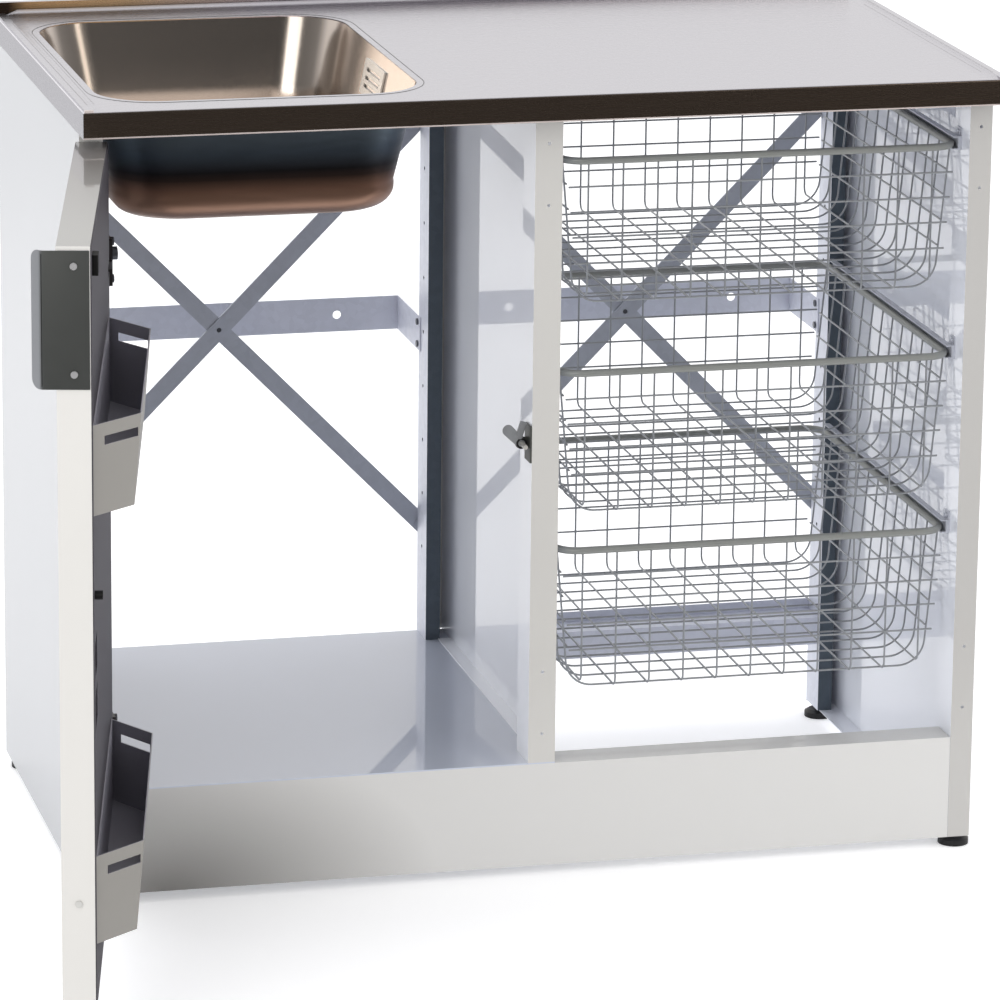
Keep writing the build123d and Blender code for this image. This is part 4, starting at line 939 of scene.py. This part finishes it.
def make_latch():
    """Catch lever with its paddle, stamped tongue and black hub ring."""
    lo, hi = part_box("latch_lever")
    pin = Vector(LATCH_JOINT["pos_m"])
    origin = Vector((pin.x, hi.y, pin.z))
    thick = hi.y - lo.y
    bm = bmesh.new()
    prism(bm, circle(HUB_RADIUS), origin, RIGHT, UP, FRONT, thick * HUB_SHARE)
    shapes = ((paddle_outline(), PADDLE_ANGLE, PADDLE_SHARE), (TONGUE, TONGUE_ANGLE, TONGUE_SHARE))
    for outline, angle, share in shapes:
        c, s = math.cos(math.radians(angle)), math.sin(math.radians(angle))
        prism(bm, in_mm(outline), origin, RIGHT * c + UP * s, UP * c - RIGHT * s, FRONT, thick * share)
    lever = new_object("lever_plate", bm, "latch", LATCH_STEEL, 30)
    soften(lever, 0.5 * MM)
    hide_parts("latch_lever")

    bm = bmesh.new()
    middle = Vector((pin.x, lo.y + HUB_RING_BAR, pin.z))
    path = [middle + RIGHT * a + UP * b for a, b in circle(HUB_RING_RADIUS)]
    tube(bm, path, HUB_RING_BAR, closed=True, sides=10)
    ring = new_object("lever_ring", bm, "latch", BLACK, 60)


# ---------------------------------------------------------------- rail screws
RAIL_LUG = 1.5 * MM
SCREW_HEAD_RADIUS = 4 * MM
SCREW_HEAD_HEIGHT = 2 * MM
SCREW_HEAD_EDGE = 0.6 * MM
SCREW_SETBACK = 10 * MM
SCREW_RISES = (-13 * MM, 13 * MM)


def make_rail_screws():
    """Heads of the screws that hold the wall rails' lugs."""
    bm = bmesh.new()
    for name in ("wall_rail_left", "wall_rail_right"):
        lo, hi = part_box(name)
        middle = (lo.z + hi.z) / 2
        for x, way in ((hi.x - RAIL_LUG, LEFT), (lo.x + RAIL_LUG, RIGHT)):
            for rise in SCREW_RISES:
                origin = Vector((x, lo.y + SCREW_SETBACK, middle + rise))
                prism(bm, circle(SCREW_HEAD_RADIUS, 20), origin, REAR, UP, way, SCREW_HEAD_HEIGHT)
    heads = new_object("rail_screws", bm, "carcass", SCREW_DARK, 40)
    soften(heads, SCREW_HEAD_EDGE)


# ---------------------------------------------------------------- studio
# The place and the sight are in metres, the sensor and the lens in millimetres.
CAMERA_PLACE = Vector((-1.00047, -5.76719, 2.01856))
CAMERA_AZIMUTH = math.radians(14.06697)
CAMERA_TILT = math.radians(15.02628)
CAMERA_ROLL = math.radians(0.64183)
CAMERA_SENSOR = 36.0
CAMERA_LENS = 206.4154
CAMERA_SIGHT = 100


def make_camera():
    """Camera at the photo's place and angle."""
    a, e, roll = CAMERA_AZIMUTH, CAMERA_TILT, CAMERA_ROLL
    ahead = Vector((math.sin(a) * math.cos(e), math.cos(a) * math.cos(e), -math.sin(e)))
    level = Vector((math.cos(a), -math.sin(a), 0))
    upright = level.cross(ahead)
    right = level * math.cos(roll) + upright * math.sin(roll)
    top = upright * math.cos(roll) - level * math.sin(roll)
    data = bpy.data.cameras.new("camera")
    data.sensor_fit = "HORIZONTAL"
    data.sensor_width = CAMERA_SENSOR
    data.lens = CAMERA_LENS
    data.clip_end = CAMERA_SIGHT
    camera = bpy.data.objects.new("camera", data)
    rotation = Matrix((right, top, -ahead)).transposed().to_4x4()
    camera.matrix_world = Matrix.Translation(CAMERA_PLACE) @ rotation
    bpy.context.scene.collection.objects.link(camera)
    bpy.context.scene.camera = camera


def area_light(name, place, aim, size, power, mirrored=False, tint=(1, 1, 1)):
    """A soft rectangular light aimed at a point: it lights surfaces, or only mirrors in them."""
    data = bpy.data.lights.new(name, "AREA")
    data.shape = "RECTANGLE"
    data.size, data.size_y = size
    data.energy = power
    data.color = tint
    light = bpy.data.objects.new(name, data)
    light.location = place
    light.visible_camera = False
    light.visible_glossy = mirrored
    light.visible_diffuse = not mirrored
    light.rotation_euler = (Vector(aim) - Vector(place)).to_track_quat("-Z", "Y").to_euler()
    bpy.context.scene.collection.objects.link(light)


def make_lights():
    """Soft lights round the unit, and pale cards that only show in its glossy faces.

    Each has its place, aim and size in metres and its power in watts.
    """
    area_light("key", (-2.3, -3.0, 2.3), (0.6, 0.2, 0.5), (2.4, 1.8), 40)
    area_light("fill", (2.8, -3.4, 1.6), (0.5, 0.2, 0.4), (2.0, 2.0), 14)
    area_light("overhead", (0.5, 0.6, 3.6), (0.5, 0.3, 0.4), (3.0, 3.0), 10)
    area_light("strip", (-1.75, -4.0, 1.9), (0.25, 0.4, 0.8), (2.3, 1.5), 28, True, (1, 0.97, 0.92))
    area_light("side_right", (2.25, -2.85, 1.75), (0.1, 0.4, 0.8), (0.7, 1.6), 5, True, (1, 0.91, 0.8))
    area_light("rear_left", (-1.9, 2.7, 0.9), (0.6, 0.2, 0.5), (1.6, 1.4), 14)
    area_light("back_left", (-0.9, 3.2, 1.5), (0.35, 0.2, 0.85), (1.2, 1.0), 4, True)


FLOOR_HALF = 14.0
FLOOR_DROP = 0.4 * MM
FLOOR_GLOW = 0.3
FLOOR_PALE = (0.93, 0.93, 0.94, 1)
FLOOR_MIRRORED = (0.07, 0.062, 0.056, 1)
FLOOR_DARK_FROM = (-0.9, -0.25)
WHITE = (1, 1, 1, 1)


def floor_white():
    """Pale glowing floor that looks dark where the unit mirrors its front part."""
    material, tree, bsdf = shader("floor_white")
    bsdf.inputs["Roughness"].default_value = 0.9
    bsdf.inputs["Base Color"].default_value = FLOOR_PALE
    bsdf.inputs["Specular IOR Level"].default_value = 0.0
    bsdf.inputs["Emission Color"].default_value = WHITE
    path = tree.nodes.new("ShaderNodeLightPath")
    seen = combined(tree, path.outputs["Is Camera Ray"], path.outputs["Is Diffuse Ray"], "MAXIMUM")
    tree.links.new(zone(tree, seen, 0.0, 1.0, 0.0, FLOOR_GLOW), bsdf.inputs["Emission Strength"])
    dark = tree.nodes.new("ShaderNodeBsdfDiffuse")
    dark.inputs["Color"].default_value = FLOOR_MIRRORED
    in_front = axis_zone(tree, "Object", "Y", *FLOOR_DARK_FROM, 1.0, 0.0)
    mirrored = combined(tree, path.outputs["Is Glossy Ray"], in_front, "MULTIPLY")
    surface = mixed_shaders(tree, mirrored, bsdf.outputs["BSDF"], dark.outputs["BSDF"])
    tree.links.new(surface, tree.nodes["Material Output"].inputs["Surface"])
    return material


def make_floor():
    """Plain pale floor, just under the feet."""
    bm = bmesh.new()
    corners = ((-1, -1), (1, -1), (1, 1), (-1, 1))
    bm.faces.new([bm.verts.new((x * FLOOR_HALF, y * FLOOR_HALF, -FLOOR_DROP)) for x, y in corners])
    mesh = bpy.data.meshes.new("floor")
    bm.to_mesh(mesh)
    bm.free()
    floor = bpy.data.objects.new("floor", mesh)
    bpy.context.scene.collection.objects.link(floor)
    mesh.materials.append(floor_white())


WORLD_SOFT = (-0.9, 0.3, 0.85, 1.1)
WORLD_GLOSS_RUN = (-1.0, 0.2)
WORLD_GLOSS_TINT = (1.0, 0.985, 0.97, 1)
WORLD_GLOSS_TONES = ((0.035, 0.05), (0.09, 0.14), (0.25, 0.18), (0.66, 0.3), (0.95, 1.0))


def background(tree, colour):
    """A background shader of a colour."""
    node = tree.nodes.new("ShaderNodeBackground")
    node.inputs["Color"].default_value = colour
    return node


def make_world():
    """White surroundings, pure white to the camera and dark in front in reflections."""
    world = bpy.data.worlds.new("studio")
    bpy.context.scene.world = world
    world.use_nodes = True
    tree = world.node_tree
    soft = background(tree, WHITE)
    tree.links.new(axis_zone(tree, "Generated", "Y", *WORLD_SOFT), soft.inputs["Strength"])
    gloss = background(tree, WORLD_GLOSS_TINT)
    run = axis_zone(tree, "Generated", "Y", *WORLD_GLOSS_RUN, curve="LINEAR")
    tones = [(position, grey(value)) for position, value in WORLD_GLOSS_TONES]
    tree.links.new(ramp(tree, run, tones), gloss.inputs["Strength"])
    white = background(tree, WHITE)
    path = tree.nodes.new("ShaderNodeLightPath")
    lit = mixed_shaders(
        tree, path.outputs["Is Glossy Ray"], soft.outputs["Background"], gloss.outputs["Background"])
    seen = mixed_shaders(tree, path.outputs["Is Camera Ray"], lit, white.outputs["Background"])
    tree.links.new(seen, tree.nodes["World Output"].inputs["Surface"])


dress_cad()
make_coves()
make_drawn_lines()
make_lip()
for level in ("top", "middle", "bottom"):
    make_rim(f"basket_{level}")
    make_wires(f"basket_{level}")
make_bowl()
make_handle()
make_latch()
make_rail_screws()
make_camera()
make_floor()
make_world()
make_lights()
bpy.context.scene.view_settings.view_transform = "Standard"
